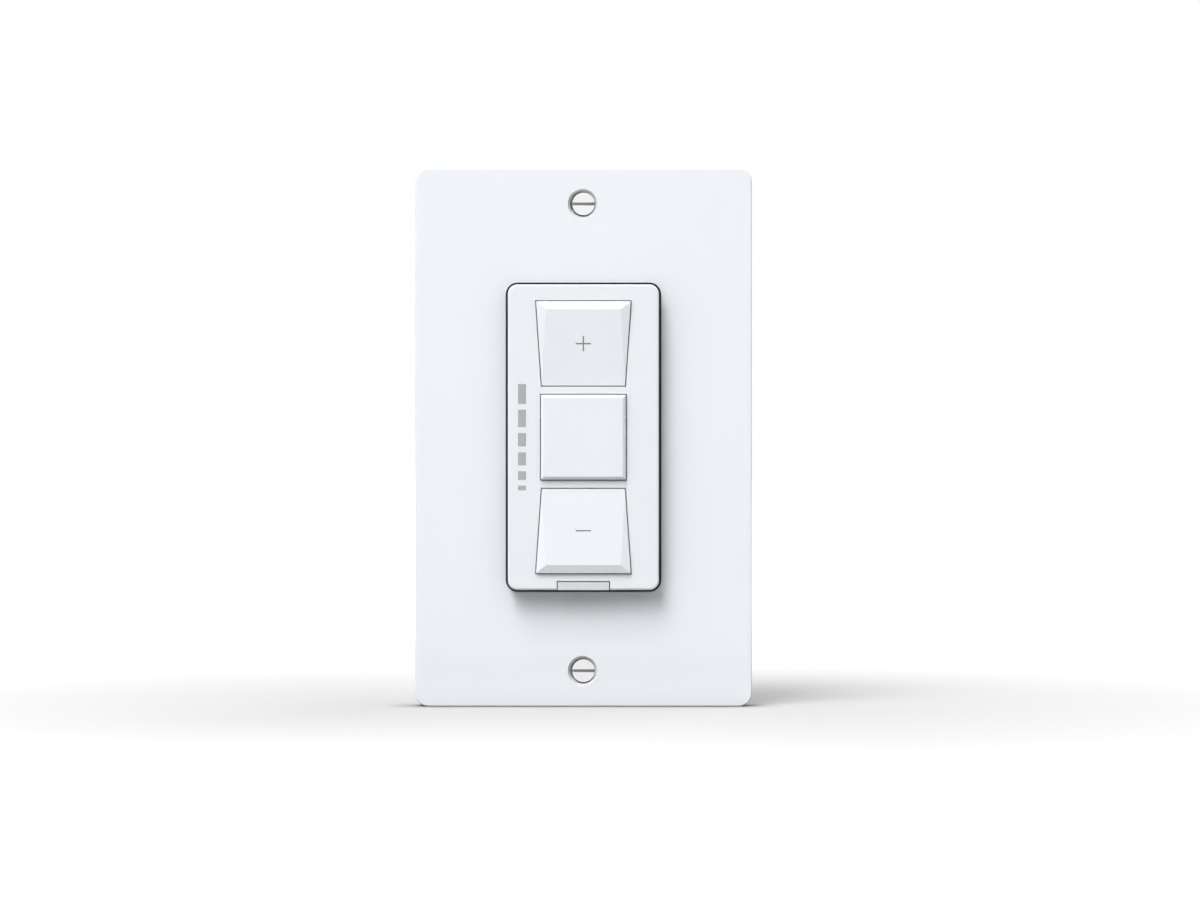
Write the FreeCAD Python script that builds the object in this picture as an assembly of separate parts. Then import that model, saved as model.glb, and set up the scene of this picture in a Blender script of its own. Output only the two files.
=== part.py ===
import FreeCAD, Part
import math
import os

# Smart dimmer switch with its wall plate. A raised front insert holds a plus button, a centre
# button, a minus button, six level bars and a pull-out air-gap tab. A metal yoke carries the
# insert in front and a closed body with two circuit boards behind.
# Millimetres. The origin lies midway between the two wall-box screw holes, on the wall surface.
# +Z is up, +X is to the right of a person who faces the switch, and the front faces -Y.

# Wall plate
plate_width = 69.85
plate_depth = 5.6
plate_corner_radius = 2.8
plate_edge_radius = 1.0
plate_front_thickness = 2.2
plate_wall = 2.0
plate_opening_edge_radius = 0.25
plate_stiffener_width = 1.2
plate_stiffener_depth = 1.4
plate_stiffener_pitch = 26.0
plate_stiffener_inset = 9.5

# Screws that hold the wall plate, number 6 with 32 threads to the inch. The plate sits a little
# to the left of them in its play, so their heads stand off centre in their pockets.
plate_screw_spacing = 96.84
plate_screw_inset = 7.43
plate_screw_radius = 1.75
plate_screw_head_radius = 2.35
plate_screw_head_depth = 2.0
plate_screw_length = 8.5
plate_screw_recess = 0.15
plate_screw_slot_width = 0.6
plate_screw_slot_depth = 0.9
plate_countersink_radius = 3.08
plate_countersink_depth = 0.7
plate_pocket_radius = 2.56
plate_hole_shift = -0.19
plate_hole_radius = 2.05
plate_boss_radius = 4.3

# Front insert
insert_width = 31.2
insert_height = 63.1
insert_proud = 3.8
insert_corner_radius = 1.95
insert_edge_radius = 0.45
insert_front_thickness = 1.5
insert_wall = 1.1
insert_flange_width = 0.9
insert_flange_gap = 0.5
insert_gap = 0.4
insert_hook_height = 22.0
insert_hook_width = 5.0
insert_hook_thickness = 0.9
insert_hook_reach = 1.3
insert_hook_catch = 0.65
insert_hook_gap = 0.2

# Plus and minus buttons, two mirrored wedges
wedge_inner_edge = 10.65
wedge_end_margin = 3.48
wedge_inner_width = 17.15
wedge_outer_width = 19.55
wedge_rise = 1.0
wedge_edge_rise = 0.5
wedge_bevel = 2.05
wedge_end_bevel = 1.7
wedge_edge_radius = 0.15
wedge_skirt_depth = 3.4
wedge_lip_width = 14.0
wedge_press_angle = 2.5

# Centre button
centre_width = 17.5
centre_rise = 1.0
centre_bevel = 0.6
centre_bevel_depth = 0.5
centre_skirt_depth = 3.2
centre_travel = 0.5
centre_lip_height = 8.0
guide_peg_radius = 1.0
guide_peg_offset = 5.9
guide_peg_overlap = 0.5

# What all three buttons share
button_wall = 1.3
button_face_wall = 1.4
button_gap = 0.2
button_lip_reach = 0.9
button_lip_thickness = 0.8
button_lip_gap = 0.2
button_post_width = 2.4
button_post_gap = 0.08
mark_inset = 8.77
mark_length = 3.15
mark_stroke = 0.27
mark_depth = 0.15

# Hinge of the plus and minus buttons
hinge_inset = 2.95
hinge_carrier_gap = 0.3
hinge_pin_radius = 0.75
hinge_running_gap = 0.05
hinge_lug_radius = 1.5
hinge_lug_position = 4.8
hinge_lug_width = 1.2
hinge_ear_radius = 1.3
hinge_ear_position = 6.4
hinge_ear_width = 1.2
hinge_pin_overhang = 0.2

# Level bars and their light guide
bar_inset = 2.94
bar_width = 1.52
bar_top = 10.91
bar_gap = 1.32
bar_heights = [3.97, 3.47, 2.70, 2.58, 1.66, 0.85]
bar_slot_gap = 0.04
light_leg_width = 1.4
light_leg_height = 1.2
light_leg_gap = 0.1
led_width = 0.8
led_height = 1.6
led_depth = 0.8

# Air-gap tab, blade and contacts
tab_width = 10.6
tab_height = 1.65
tab_nib_depth = 2.9
tab_gap = 0.2
tab_travel = 3.0
tab_groove_depth = 0.35
tab_groove_width = 1.2
tab_leg_width = 8.0
tab_leg_thickness = 1.1
tab_leg_wall_gap = 0.2
tab_leg_end = 15.2
tab_stop_width = 10.4
tab_stop_length = 1.4
blade_width = 13.0
blade_height = 2.2
blade_thickness = 0.6
contact_offset = 5.0
contact_width = 1.6
contact_thickness = 0.6
contact_gap = 0.6

# Button carrier
carrier_thickness = 1.2
carrier_rim = 0.8
carrier_gap = 0.15
carrier_post_hole_radius = 2.3

# Yoke
yoke_thickness = 1.5
yoke_end_margin = 3.98
yoke_middle_margin = 1.0
yoke_strap_width = 24.0
yoke_corner_radius = 3.0
yoke_window_side_margin = 1.2
yoke_window_end_margin = 4.55
box_screw_step = 6.75
box_screw_hole_radius = 2.2
heat_tab_spacer_gap = 0.4
heat_tab_floor_gap = 2.7
ground_tab_height = 8.0
ground_tab_depth = 9.0
ground_tab_step = 0.33
ground_screw_radius = 1.75
ground_screw_head_radius = 3.2
ground_screw_head_depth = 2.2
ground_screw_length = 6.5

# Rear housing
housing_end_margin = 1.45
housing_depth = 33.0
housing_wall = 1.8
housing_corner_radius = 3.0
housing_back_radius = 1.2
housing_post_radius = 2.6
housing_post_inset = 2.7
housing_post_end_inset = 6.0
housing_screw_radius = 1.25
housing_screw_length = 10.0
housing_screw_head_radius = 2.0
housing_screw_head_depth = 1.3
housing_screw_slot_depth = 0.5
housing_rib_width = 2.0
housing_rib_overlap = 1.2
side_rib_height = 7.5
bottom_rib_offset = 9.0
label_width = 24.0
label_height = 26.0
label_corner_radius = 1.5
label_depth = 0.3
label_z = 8.0
strip_gauge_length = 11.0
strip_gauge_width = 3.0
strip_gauge_depth = 0.6
strip_gauge_z = -14.0

# Wiring terminals in the sides of the housing
pocket_height = 12.0
pocket_length = 12.0
pocket_depth = 4.5
pocket_start = 13.0
pocket_wall = 1.2
pocket_post_gap = 0.2
terminal_plate_thickness = 1.0
terminal_plate_margin = 0.8
terminal_leg_width = 3.0
terminal_leg_tail = 0.6
clamp_plate_width = 8.0
terminal_screw_radius = 1.7
terminal_screw_head_radius = 3.6
terminal_screw_head_depth = 2.2
terminal_screw_length = 4.0
screw_slot_width = 0.9
screw_slot_depth = 0.8

# Insulating sheet and the two circuit boards
sheet_thickness = 0.5
sheet_overlap = 0.5
board_thickness = 1.6
board_spacing = 5.4
board_rest = 1.5
board_side_gap = 0.5
board_top_gap = 0.4
board_leg_gap = 0.6
board_notch_gap = 0.3
spacer_radius = 1.9
spacer_side_inset = 2.1
spacer_inset = 2.0

# Press switches on the control board
switch_width = 6.0
switch_depth = 3.5
switch_inset = 6.47
switch_carrier_gap = 0.4
plunger_radius = 1.75
plunger_height = 1.3
plunger_running_gap = 0.1
plunger_overlap = 0.1

# Other parts on the control board
radio_width = 9.0
radio_height = 13.0
radio_thickness = 0.8
radio_side_gap = 0.8
radio_z = 11.0
shield_margin = 0.5
shield_height = 8.5
shield_depth = 1.6
chip_width = 7.0
chip_depth = 1.0
chip_x = 8.5
chip_z = -10.0
header_rows = 3
header_pitch = 2.54
header_inset = 3.9
header_spacer_gap = 0.3
pin_width = 0.6
pin_tail = 0.9
hole_clearance = 0.1

# Power transistors and their clamp
transistor_offset = 6.5
transistor_width = 9.8
transistor_end_gap = 0.5
transistor_body_length = 9.0
transistor_body_height = 3.1
transistor_frame_length = 15.5
transistor_frame_thickness = 1.3
transistor_hole_radius = 1.8
transistor_lead_width = 0.8
transistor_lead_thickness = 0.5
transistor_lead_tail = 0.6
pad_thickness = 0.3
pad_margin = 0.3
clamp_bar_width = 18.0
clamp_bar_length = 4.0
clamp_bar_thickness = 1.2
clamp_screw_radius = 1.25
clamp_screw_head_radius = 2.2
clamp_screw_head_depth = 1.8
clamp_screw_tail = 1.0

# Other parts on the power board
choke_x = -2.5
choke_screw_gap = 0.5
choke_core_radius = 9.5
choke_hole_radius = 5.5
choke_core_depth = 7.0
choke_wire_depth = 1.3
choke_open_angle = 50.0
film_capacitor_width = 18.0
film_capacitor_height = 6.0
film_capacitor_depth = 13.0
film_capacitor_gap = 0.9
film_capacitor_edge = 0.6
can_radius = 4.5
can_length = 16.0
can_side_gap = 0.5
can_rise = 2.0
can_groove = 0.5
can_groove_height = 1.5
transformer_side_gap = 1.5
transformer_width = 10.0
transformer_length = 11.0
transformer_core_height = 5.0
transformer_coil_height = 8.0
transformer_leg_width = 3.5
transformer_yoke_thickness = 2.0
transformer_coil_gap = 0.1
varistor_side_gap = 0.8
varistor_z = -10.0
varistor_radius = 5.0
varistor_thickness = 4.0
varistor_foot = 0.4
fuse_side_gap = 1.0
fuse_radius = 4.2
fuse_length = 8.0

# Screw threads are plain cylinders with this room around them
thread_gap = 0.02
# How far a cutter runs past the face that it opens
overrun = 1.0
tiny = 1e-4

# Depths along Y that several pieces share, from the room to the wall
plate_front = -plate_depth
plate_inside = plate_front + plate_front_thickness
plate_screw_seat = plate_front + plate_screw_recess + plate_screw_head_depth
insert_front = plate_front - insert_proud
insert_inside = insert_front + insert_front_thickness
yoke_front = -yoke_thickness
control_front = sheet_thickness
control_back = control_front + board_thickness
power_front = control_back + board_spacing
power_back = power_front + board_thickness
housing_floor = housing_depth - housing_wall
switch_front = control_front - switch_depth
plunger_front = switch_front - plunger_height
carrier_back = switch_front - switch_carrier_gap
carrier_front = carrier_back - carrier_thickness
hinge_y = carrier_front - hinge_carrier_gap - hinge_lug_radius
lip_front = insert_inside + button_lip_gap
blade_back = tab_leg_end + blade_thickness
pocket_end = pocket_start + pocket_length
heat_tab_depth = housing_floor - heat_tab_floor_gap
transistor_start = heat_tab_depth - transistor_end_gap - transistor_frame_length
clamp_depth = transistor_start + transistor_body_length / 2

# Widths along X, from the front insert outwards
insert_half_width = insert_width / 2
bar_column = bar_inset - insert_half_width
yoke_window_width = insert_width - 2 * yoke_window_side_margin
board_width = yoke_window_width + 2 * board_rest
spacer_offset = board_width / 2 - spacer_side_inset
heat_tab_width = 2 * (spacer_offset - spacer_radius - heat_tab_spacer_gap)
post_x = board_width / 2 + board_notch_gap + housing_post_radius
housing_width = 2 * (post_x + housing_post_inset)
housing_inner_half_width = housing_width / 2 - housing_wall
power_board_width = 2 * (housing_inner_half_width - board_side_gap)
pocket_floor = housing_width / 2 - pocket_depth
pocket_inside = pocket_floor - pocket_wall
radio_x = yoke_window_width / 2 - radio_side_gap - radio_width / 2
header_x = header_inset - board_width / 2
can_x = can_side_gap + can_radius - pocket_inside
varistor_x = pocket_inside - varistor_side_gap - varistor_thickness / 2
transformer_x = (varistor_x - varistor_thickness / 2 - transformer_side_gap
                 - transformer_width / 2)
fuse_x = housing_inner_half_width - fuse_side_gap - fuse_radius

# Heights along Z: the plate and the yoke from the screws, the rest from the front insert
plate_height = plate_screw_spacing + 2 * plate_screw_inset
yoke_length = plate_screw_spacing + 2 * yoke_end_margin
box_screw_spacing = plate_screw_spacing - 2 * box_screw_step
ground_tab_drop = box_screw_spacing / 2 + ground_tab_step
insert_half_height = insert_height / 2
yoke_window_height = insert_height - 2 * yoke_window_end_margin
housing_height = insert_height + 2 * housing_end_margin
housing_inner_half_height = housing_height / 2 - housing_wall
yoke_middle_height = housing_height + 2 * yoke_middle_margin
housing_post_height = housing_height / 2 - housing_post_end_inset
terminal_height = (housing_post_height - housing_post_radius - pocket_post_gap - pocket_wall
                   - pocket_height / 2)
wedge_outer_edge = insert_half_height - wedge_end_margin
wedge_length = wedge_outer_edge - wedge_inner_edge
hinge_height = wedge_inner_edge + hinge_inset
switch_height = wedge_outer_edge - switch_inset
switch_arm = switch_height - hinge_height
mark_height = wedge_outer_edge - mark_inset
wedge_travel = switch_arm * math.radians(wedge_press_angle)
tab_bottom = -insert_half_height
tab_top = tab_bottom + tab_height
leg_bottom = -housing_inner_half_height + tab_leg_wall_gap
leg_top = leg_bottom + tab_leg_thickness
board_top = housing_inner_half_height - board_top_gap
board_bottom = leg_top + board_leg_gap
header_z = (board_bottom + spacer_inset + spacer_radius + header_spacer_gap
            + header_rows * header_pitch / 2)
heat_tab_bottom = yoke_window_height / 2
heat_tab_top = heat_tab_bottom + yoke_thickness
frame_bottom = heat_tab_bottom - pad_thickness - transistor_frame_thickness
body_bottom = frame_bottom - transistor_body_height
clamp_screw_end = body_bottom - clamp_bar_thickness - clamp_screw_head_depth
choke_radius = choke_core_radius + choke_wire_depth
choke_z = clamp_screw_end - choke_screw_gap - choke_radius
contact_bottom = leg_bottom + blade_height + contact_gap
film_capacitor_z = (contact_bottom + contact_thickness + film_capacitor_gap
                    + film_capacitor_height / 2)
transformer_z = (film_capacitor_z + film_capacitor_height / 2 + choke_z - choke_radius) / 2
can_z = transformer_z + can_rise


def point(x, y, z):
    """A place in the frame of the switch."""
    return FreeCAD.Vector(x, y, z)


def block(x0, x1, y0, y1, z0, z1):
    """A box between two opposite corners."""
    return Part.makeBox(x1 - x0, y1 - y0, z1 - z0, point(x0, y0, z0))


def slab(width, height, y0, y1, x=0.0, z=0.0):
    """A box centred on x and z that runs from depth y0 to depth y1."""
    return block(x - width / 2, x + width / 2, y0, y1, z - height / 2, z + height / 2)


def rounded_slab(width, height, radius, y0, y1, x=0.0, z=0.0):
    """A slab whose four edges along Y are rounded."""
    body = slab(width, height, y0, y1, x, z)
    along_y = [edge for edge in body.Edges if edge_span(edge, "y") > tiny]
    return body.makeFillet(radius, along_y)


def rod(radius, y0, y1, x=0.0, z=0.0):
    """A cylinder along Y."""
    return Part.makeCylinder(radius, y1 - y0, point(x, y0, z), point(0, 1, 0))


def side_rod(radius, x0, x1, y, z):
    """A cylinder along X."""
    return Part.makeCylinder(radius, x1 - x0, point(x0, y, z), point(1, 0, 0))


def upright_rod(radius, x, y, z0, z1):
    """A cylinder along Z."""
    return Part.makeCylinder(radius, z1 - z0, point(x, y, z0), point(0, 0, 1))


def edge_span(edge, axis):
    """How far an edge's ends lie apart along one axis."""
    ends = [getattr(vertex.Point, axis) for vertex in edge.Vertexes]
    return max(ends) - min(ends)


def edges_at_depth(shape, depth, half_width, half_height):
    """The edges in the plane at one depth that lie within a centred rectangle."""
    found = []
    for edge in shape.Edges:
        box = edge.BoundBox
        flat = abs(box.YMin - depth) < tiny and abs(box.YMax - depth) < tiny
        inside = box.XMax < half_width + tiny and box.ZMax < half_height + tiny
        inside = inside and box.XMin > -half_width - tiny and box.ZMin > -half_height - tiny
        if flat and inside:
            found.append(edge)
    return found


def joined(shapes):
    """One solid from shapes that touch or overlap."""
    body = shapes[0]
    for shape in shapes[1:]:
        body = body.fuse(shape)
    return body.removeSplitter()


def without(body, cutters):
    """A body with every cutter taken away."""
    for cutter in cutters:
        body = body.cut(cutter)
    return body.removeSplitter()


def polyhedron(faces):
    """A solid from its flat faces, each a list of corners anticlockwise from outside."""
    shell = Part.makeShell([Part.Face(Part.makePolygon(list(f) + [f[0]])) for f in faces])
    shell.sewShape()
    return Part.makeSolid(shell)


def mirrored(shape):
    """The same piece on the other side of the middle height."""
    return shape.mirror(point(0, 0, 0), point(0, 0, 1))


def flipped(shape):
    """The same piece on the other side of the middle width."""
    return shape.mirror(point(0, 0, 0), point(1, 0, 0))


def all_corners(x, z):
    """The four points at plus and minus x and z."""
    return [(side * x, end * z) for side in (-1, 1) for end in (-1, 1)]


def save(name, *solids):
    """One STEP file for a piece, or for a group of like pieces."""
    shape = solids[0] if len(solids) == 1 else Part.makeCompound(list(solids))
    count = sum(len(solid.Solids) for solid in solids)
    if count != len(solids) or not shape.isValid():
        raise ValueError(name + " is not made of whole valid solids")
    shape.exportStep("parts/" + name + ".step")
    print(f"{name}: {count} solid, {shape.Volume:.1f} mm3")


# Wall plate: a moulded cover, hollow behind, with a boss under each screw
def make_wall_plate():
    body = rounded_slab(plate_width, plate_height, plate_corner_radius, plate_front, 0)
    rim = edges_at_depth(body, plate_front, plate_width / 2, plate_height / 2)
    body = body.makeFillet(plate_edge_radius, rim)
    inner_width = plate_width - 2 * plate_wall
    inner_height = plate_height - 2 * plate_wall
    inner_radius = max(plate_corner_radius - plate_wall, plate_opening_edge_radius)
    hollow = rounded_slab(inner_width, inner_height, inner_radius, plate_inside, overrun)
    body = body.cut(hollow)
    extras = [rod(plate_boss_radius, plate_inside, yoke_front, 0, end * plate_screw_spacing / 2)
              for end in (-1, 1)]
    for row in (-1, 0, 1):
        for side in (-1, 1):
            reach = plate_stiffener_inset
            extras.append(slab(reach, plate_stiffener_width, plate_inside,
                               plate_inside + plate_stiffener_depth,
                               side * (inner_width - reach) / 2, row * plate_stiffener_pitch))
    body = joined([body] + extras)
    opening_width = insert_width + 2 * insert_gap
    opening_height = insert_height + 2 * insert_gap
    opening = rounded_slab(opening_width, opening_height, insert_corner_radius + insert_gap,
                           plate_front - overrun, overrun)
    body = body.cut(opening)
    lip = edges_at_depth(body, plate_front, opening_width / 2, opening_height / 2)
    body = body.makeFillet(plate_opening_edge_radius, lip)
    cone_end = plate_front + plate_countersink_depth
    cutters = []
    for end in (-1, 1):
        z = end * plate_screw_spacing / 2
        cutters.append(Part.makeCone(plate_countersink_radius, plate_pocket_radius,
                                     plate_countersink_depth,
                                     point(plate_hole_shift, plate_front, z), point(0, 1, 0)))
        cutters.append(rod(plate_pocket_radius, cone_end, plate_screw_seat,
                           plate_hole_shift, z))
        cutters.append(rod(plate_hole_radius, cone_end, overrun, plate_hole_shift, z))
    return without(body, cutters)


# Plate screws: flat slotted heads, nearly level with the plate, in its pockets
def make_plate_screw(z):
    top = plate_screw_seat - plate_screw_head_depth
    head = rod(plate_screw_head_radius, top, plate_screw_seat, 0, z)
    shank = rod(plate_screw_radius, plate_screw_seat, plate_screw_seat + plate_screw_length,
                0, z)
    slot = slab(3 * plate_screw_head_radius, plate_screw_slot_width, top - overrun,
                top + plate_screw_slot_depth, 0, z)
    return without(joined([head, shank]), [slot])


# Outline of a plus button, wider by grow all round, as corners from the lower left
def wedge_outline(y, grow=0.0):
    inner = wedge_inner_width / 2 + grow
    outer = wedge_outer_width / 2 + grow
    low = wedge_inner_edge - grow
    high = wedge_outer_edge + grow
    return [point(-inner, y, low), point(inner, y, low),
            point(outer, y, high), point(-outer, y, high)]


def prism(corners, depth):
    """A solid that runs from a flat outline along Y."""
    return Part.Face(Part.makePolygon(corners + [corners[0]])).extrude(point(0, depth, 0))


# Front insert: the raised frame round the buttons, hooked into the yoke from the front
def make_front_insert():
    body = rounded_slab(insert_width, insert_height, insert_corner_radius,
                        insert_front, yoke_front)
    rim = edges_at_depth(body, insert_front, insert_half_width, insert_half_height)
    body = body.makeFillet(insert_edge_radius, rim)
    flange = rounded_slab(insert_width + 2 * insert_flange_width,
                          insert_height + 2 * insert_flange_width,
                          insert_corner_radius + insert_flange_width,
                          plate_inside + insert_flange_gap, yoke_front)
    body = joined([body, flange])
    hollow = rounded_slab(insert_width - 2 * insert_wall, insert_height - 2 * insert_wall,
                          insert_corner_radius - insert_wall, insert_inside, overrun)
    body = body.cut(hollow)
    outer = insert_half_width - tiny
    inner = insert_half_width - insert_hook_thickness
    hooks = []
    for side, end in all_corners(1, 1):
        z = end * insert_hook_height
        arm = slab(insert_hook_thickness, insert_hook_width, yoke_front - insert_wall,
                   insert_hook_reach, (outer + inner) / 2, z)
        catch = slab(insert_hook_catch, insert_hook_width, 0, insert_hook_reach,
                     outer + insert_hook_catch / 2, z)
        hook = joined([arm, catch])
        hooks.append(hook if side > 0 else flipped(hook))
    body = joined([body] + hooks)
    window = prism(wedge_outline(insert_front - overrun, button_gap),
                   insert_front_thickness + 2 * overrun)
    centre_window = slab(centre_width + 2 * button_gap, centre_width + 2 * button_gap,
                         insert_front - overrun, insert_inside + overrun)
    cutters = [window, mirrored(window), centre_window]
    for z, height in level_bars():
        cutters.append(slab(bar_width + 2 * bar_slot_gap, height + 2 * bar_slot_gap,
                            insert_front - overrun, insert_inside + tiny, bar_column, z))
    nib_half = tab_width / 2 + tab_gap
    cutters.append(block(-nib_half, nib_half, insert_front - overrun,
                         insert_front + tab_nib_depth + tab_gap,
                         tab_bottom - overrun, tab_top + tab_gap))
    leg_half = tab_leg_width / 2 + tab_gap
    cutters.append(block(-leg_half, leg_half, insert_front + tab_nib_depth, overrun,
                         leg_bottom - tab_leg_wall_gap, leg_top + tab_gap))
    return without(body, cutters)


# Centre height and length of each level bar, from the top one down
def level_bars():
    bars = []
    top = bar_top
    for height in bar_heights:
        bars.append((top - height / 2, height))
        top = top - height - bar_gap
    return bars


# Light guide: one clear moulding with six bars in front and a leg behind each for its lamp
def make_light_guide():
    bars = level_bars()
    low = bars[-1][0] - bars[-1][1] / 2
    spine = block(bar_column - bar_width / 2, bar_column + bar_width / 2,
                  insert_inside, carrier_front, low, bar_top)
    pieces = [spine]
    for z, height in bars:
        pieces.append(slab(bar_width, height, insert_front, insert_inside, bar_column, z))
        pieces.append(slab(light_leg_width, light_leg_height, carrier_front,
                           control_front - led_depth - light_leg_gap, bar_column, z))
    return joined(pieces)


# Plus button: a wedge that lies flush at its inner edge and stands proud at its outer edge,
# where a low wall carries the bevel
def make_wedge_cap():
    skirt = wedge_outline(insert_front + wedge_skirt_depth)
    base = wedge_outline(insert_front)
    base[2:] = wedge_outline(insert_front - wedge_edge_rise)[2:]
    crest_half = wedge_outer_width / 2 - wedge_bevel
    crest_z = wedge_outer_edge - wedge_end_bevel
    crest = [point(crest_half, insert_front - wedge_rise, crest_z),
             point(-crest_half, insert_front - wedge_rise, crest_z)]
    walls = [[skirt[i], skirt[(i + 1) % 4], base[(i + 1) % 4], base[i]] for i in range(4)]
    top = [base[0], base[1], crest[0], crest[1]]
    right = [base[1], base[2], crest[0]]
    outer = [base[2], base[3], crest[1], crest[0]]
    left = [base[3], base[0], crest[1]]
    cap = polyhedron([skirt[::-1]] + walls + [top, right, outer, left])
    raised = insert_front - wedge_rise
    ridge = [edge for edge in cap.Edges if abs(edge.BoundBox.YMin - raised) < tiny]
    return cap.makeFillet(wedge_edge_radius, ridge)


# Slope of the plus button's face from its inner edge to its crest
def wedge_slope():
    return math.atan2(wedge_rise, wedge_length - wedge_end_bevel)


# Mark on a button's face: its strokes fill a shallow recess
def make_mark(strokes):
    bars = [slab(width, height, 0, mark_depth) for width, height in strokes]
    mark = joined(bars)
    mark.rotate(point(0, 0, 0), point(1, 0, 0), math.degrees(wedge_slope()))
    y = insert_front - (mark_height - wedge_inner_edge) * math.tan(wedge_slope())
    mark.translate(point(0, y, mark_height))
    return mark


def make_wedge_button(mark):
    cap = make_wedge_cap()
    ceiling = insert_front + button_face_wall
    hollow = prism(wedge_outline(ceiling, -button_wall), housing_depth)
    body = cap.cut(hollow)
    post = slab(button_post_width, button_post_width, ceiling - tiny,
                plunger_front - button_post_gap, 0, switch_height)
    lip = slab(wedge_lip_width, button_lip_reach + button_wall / 2, lip_front,
               lip_front + button_lip_thickness, 0,
               wedge_outer_edge + (button_lip_reach - button_wall / 2) / 2)
    lugs = []
    for side in (-1, 1):
        x = side * hinge_lug_position
        stem = slab(hinge_lug_width, 2 * hinge_lug_radius, ceiling - tiny, hinge_y,
                    x, hinge_height)
        eye = side_rod(hinge_lug_radius, x - hinge_lug_width / 2, x + hinge_lug_width / 2,
                       hinge_y, hinge_height)
        lugs.append(stem.fuse(eye))
    body = joined([body, post, lip] + lugs)
    bore = side_rod(hinge_pin_radius + hinge_running_gap, -hinge_lug_position - hinge_lug_width,
                    hinge_lug_position + hinge_lug_width, hinge_y, hinge_height)
    return without(body, [bore, mark])


# Centre button: a square cap, raised all over, that slides on four guide pegs
def make_centre_button():
    half = centre_width / 2
    crest_half = half - centre_bevel
    raised = insert_front - centre_rise

    def ring(y, reach):
        return [point(-reach, y, -reach), point(reach, y, -reach),
                point(reach, y, reach), point(-reach, y, reach)]

    skirt = ring(insert_front + centre_skirt_depth, half)
    base = ring(raised + centre_bevel_depth, half)
    crest = ring(raised, crest_half)
    walls = [[skirt[i], skirt[(i + 1) % 4], base[(i + 1) % 4], base[i]] for i in range(4)]
    bevels = [[base[i], base[(i + 1) % 4], crest[(i + 1) % 4], crest[i]] for i in range(4)]
    cap = polyhedron([skirt[::-1]] + walls + bevels + [crest])
    ridge = [edge for edge in cap.Edges if abs(edge.BoundBox.YMin - raised) < tiny]
    cap = cap.makeFillet(wedge_edge_radius, ridge)
    ceiling = raised + button_face_wall
    hollow = slab(centre_width - 2 * button_wall, centre_width - 2 * button_wall,
                  ceiling, overrun)
    pieces = [cap.cut(hollow)]
    pieces.append(slab(button_post_width, button_post_width, ceiling - tiny,
                       plunger_front - button_post_gap))
    for x, z in all_corners(guide_peg_offset, guide_peg_offset):
        pieces.append(rod(guide_peg_radius, ceiling - tiny, carrier_back + guide_peg_overlap,
                          x, z))
    for side in (-1, 1):
        x = side * (half + (button_lip_reach - button_wall / 2) / 2)
        pieces.append(slab(button_lip_reach + button_wall / 2, centre_lip_height, lip_front,
                           lip_front + button_lip_thickness, x, 0))
    return joined(pieces)


# Button carrier: a moulded frame on the yoke that holds the hinge pins and guides the pegs
def make_button_carrier():
    width = insert_width - 2 * insert_wall - 2 * carrier_gap
    height = insert_height - 2 * insert_wall - 2 * carrier_gap
    corner = insert_corner_radius - insert_wall - carrier_gap
    body = rounded_slab(width, height, corner, carrier_front, yoke_front)
    hollow = slab(width - 2 * carrier_rim, height - 2 * carrier_rim, carrier_back, overrun)
    ears = []
    for side, end in all_corners(1, 1):
        x = side * hinge_ear_position
        z = end * hinge_height
        ears.append(slab(hinge_ear_width, 2 * hinge_ear_radius, hinge_y, carrier_back, x, z))
        ears.append(side_rod(hinge_ear_radius, x - hinge_ear_width / 2,
                             x + hinge_ear_width / 2, hinge_y, z))
    body = joined([body.cut(hollow)] + ears)
    cutters = []
    reach = hinge_ear_position + hinge_ear_width
    for end in (-1, 1):
        cutters.append(side_rod(hinge_pin_radius + thread_gap, -reach, reach, hinge_y,
                                end * hinge_height))
    for z in (-switch_height, 0, switch_height):
        cutters.append(rod(carrier_post_hole_radius, carrier_front - overrun, overrun, 0, z))
    for x, z in all_corners(guide_peg_offset, guide_peg_offset):
        cutters.append(rod(guide_peg_radius + hinge_running_gap, carrier_front - overrun,
                           overrun, x, z))
    for z, height in level_bars():
        cutters.append(slab(light_leg_width + 2 * light_leg_gap,
                            light_leg_height + 2 * light_leg_gap,
                            carrier_front - overrun, overrun, bar_column, z))
    leg_half = tab_leg_width / 2 + 2 * tab_gap
    cutters.append(block(-leg_half, leg_half, carrier_front - overrun, overrun,
                         -insert_half_height, leg_top + 2 * tab_gap))
    return without(body, cutters)


# Hinge pin: a steel rod through the carrier's two ears and the button's two lugs
def make_hinge_pin(z):
    reach = hinge_ear_position + hinge_ear_width / 2 + hinge_pin_overhang
    return side_rod(hinge_pin_radius, -reach, reach, hinge_y, z)


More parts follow.
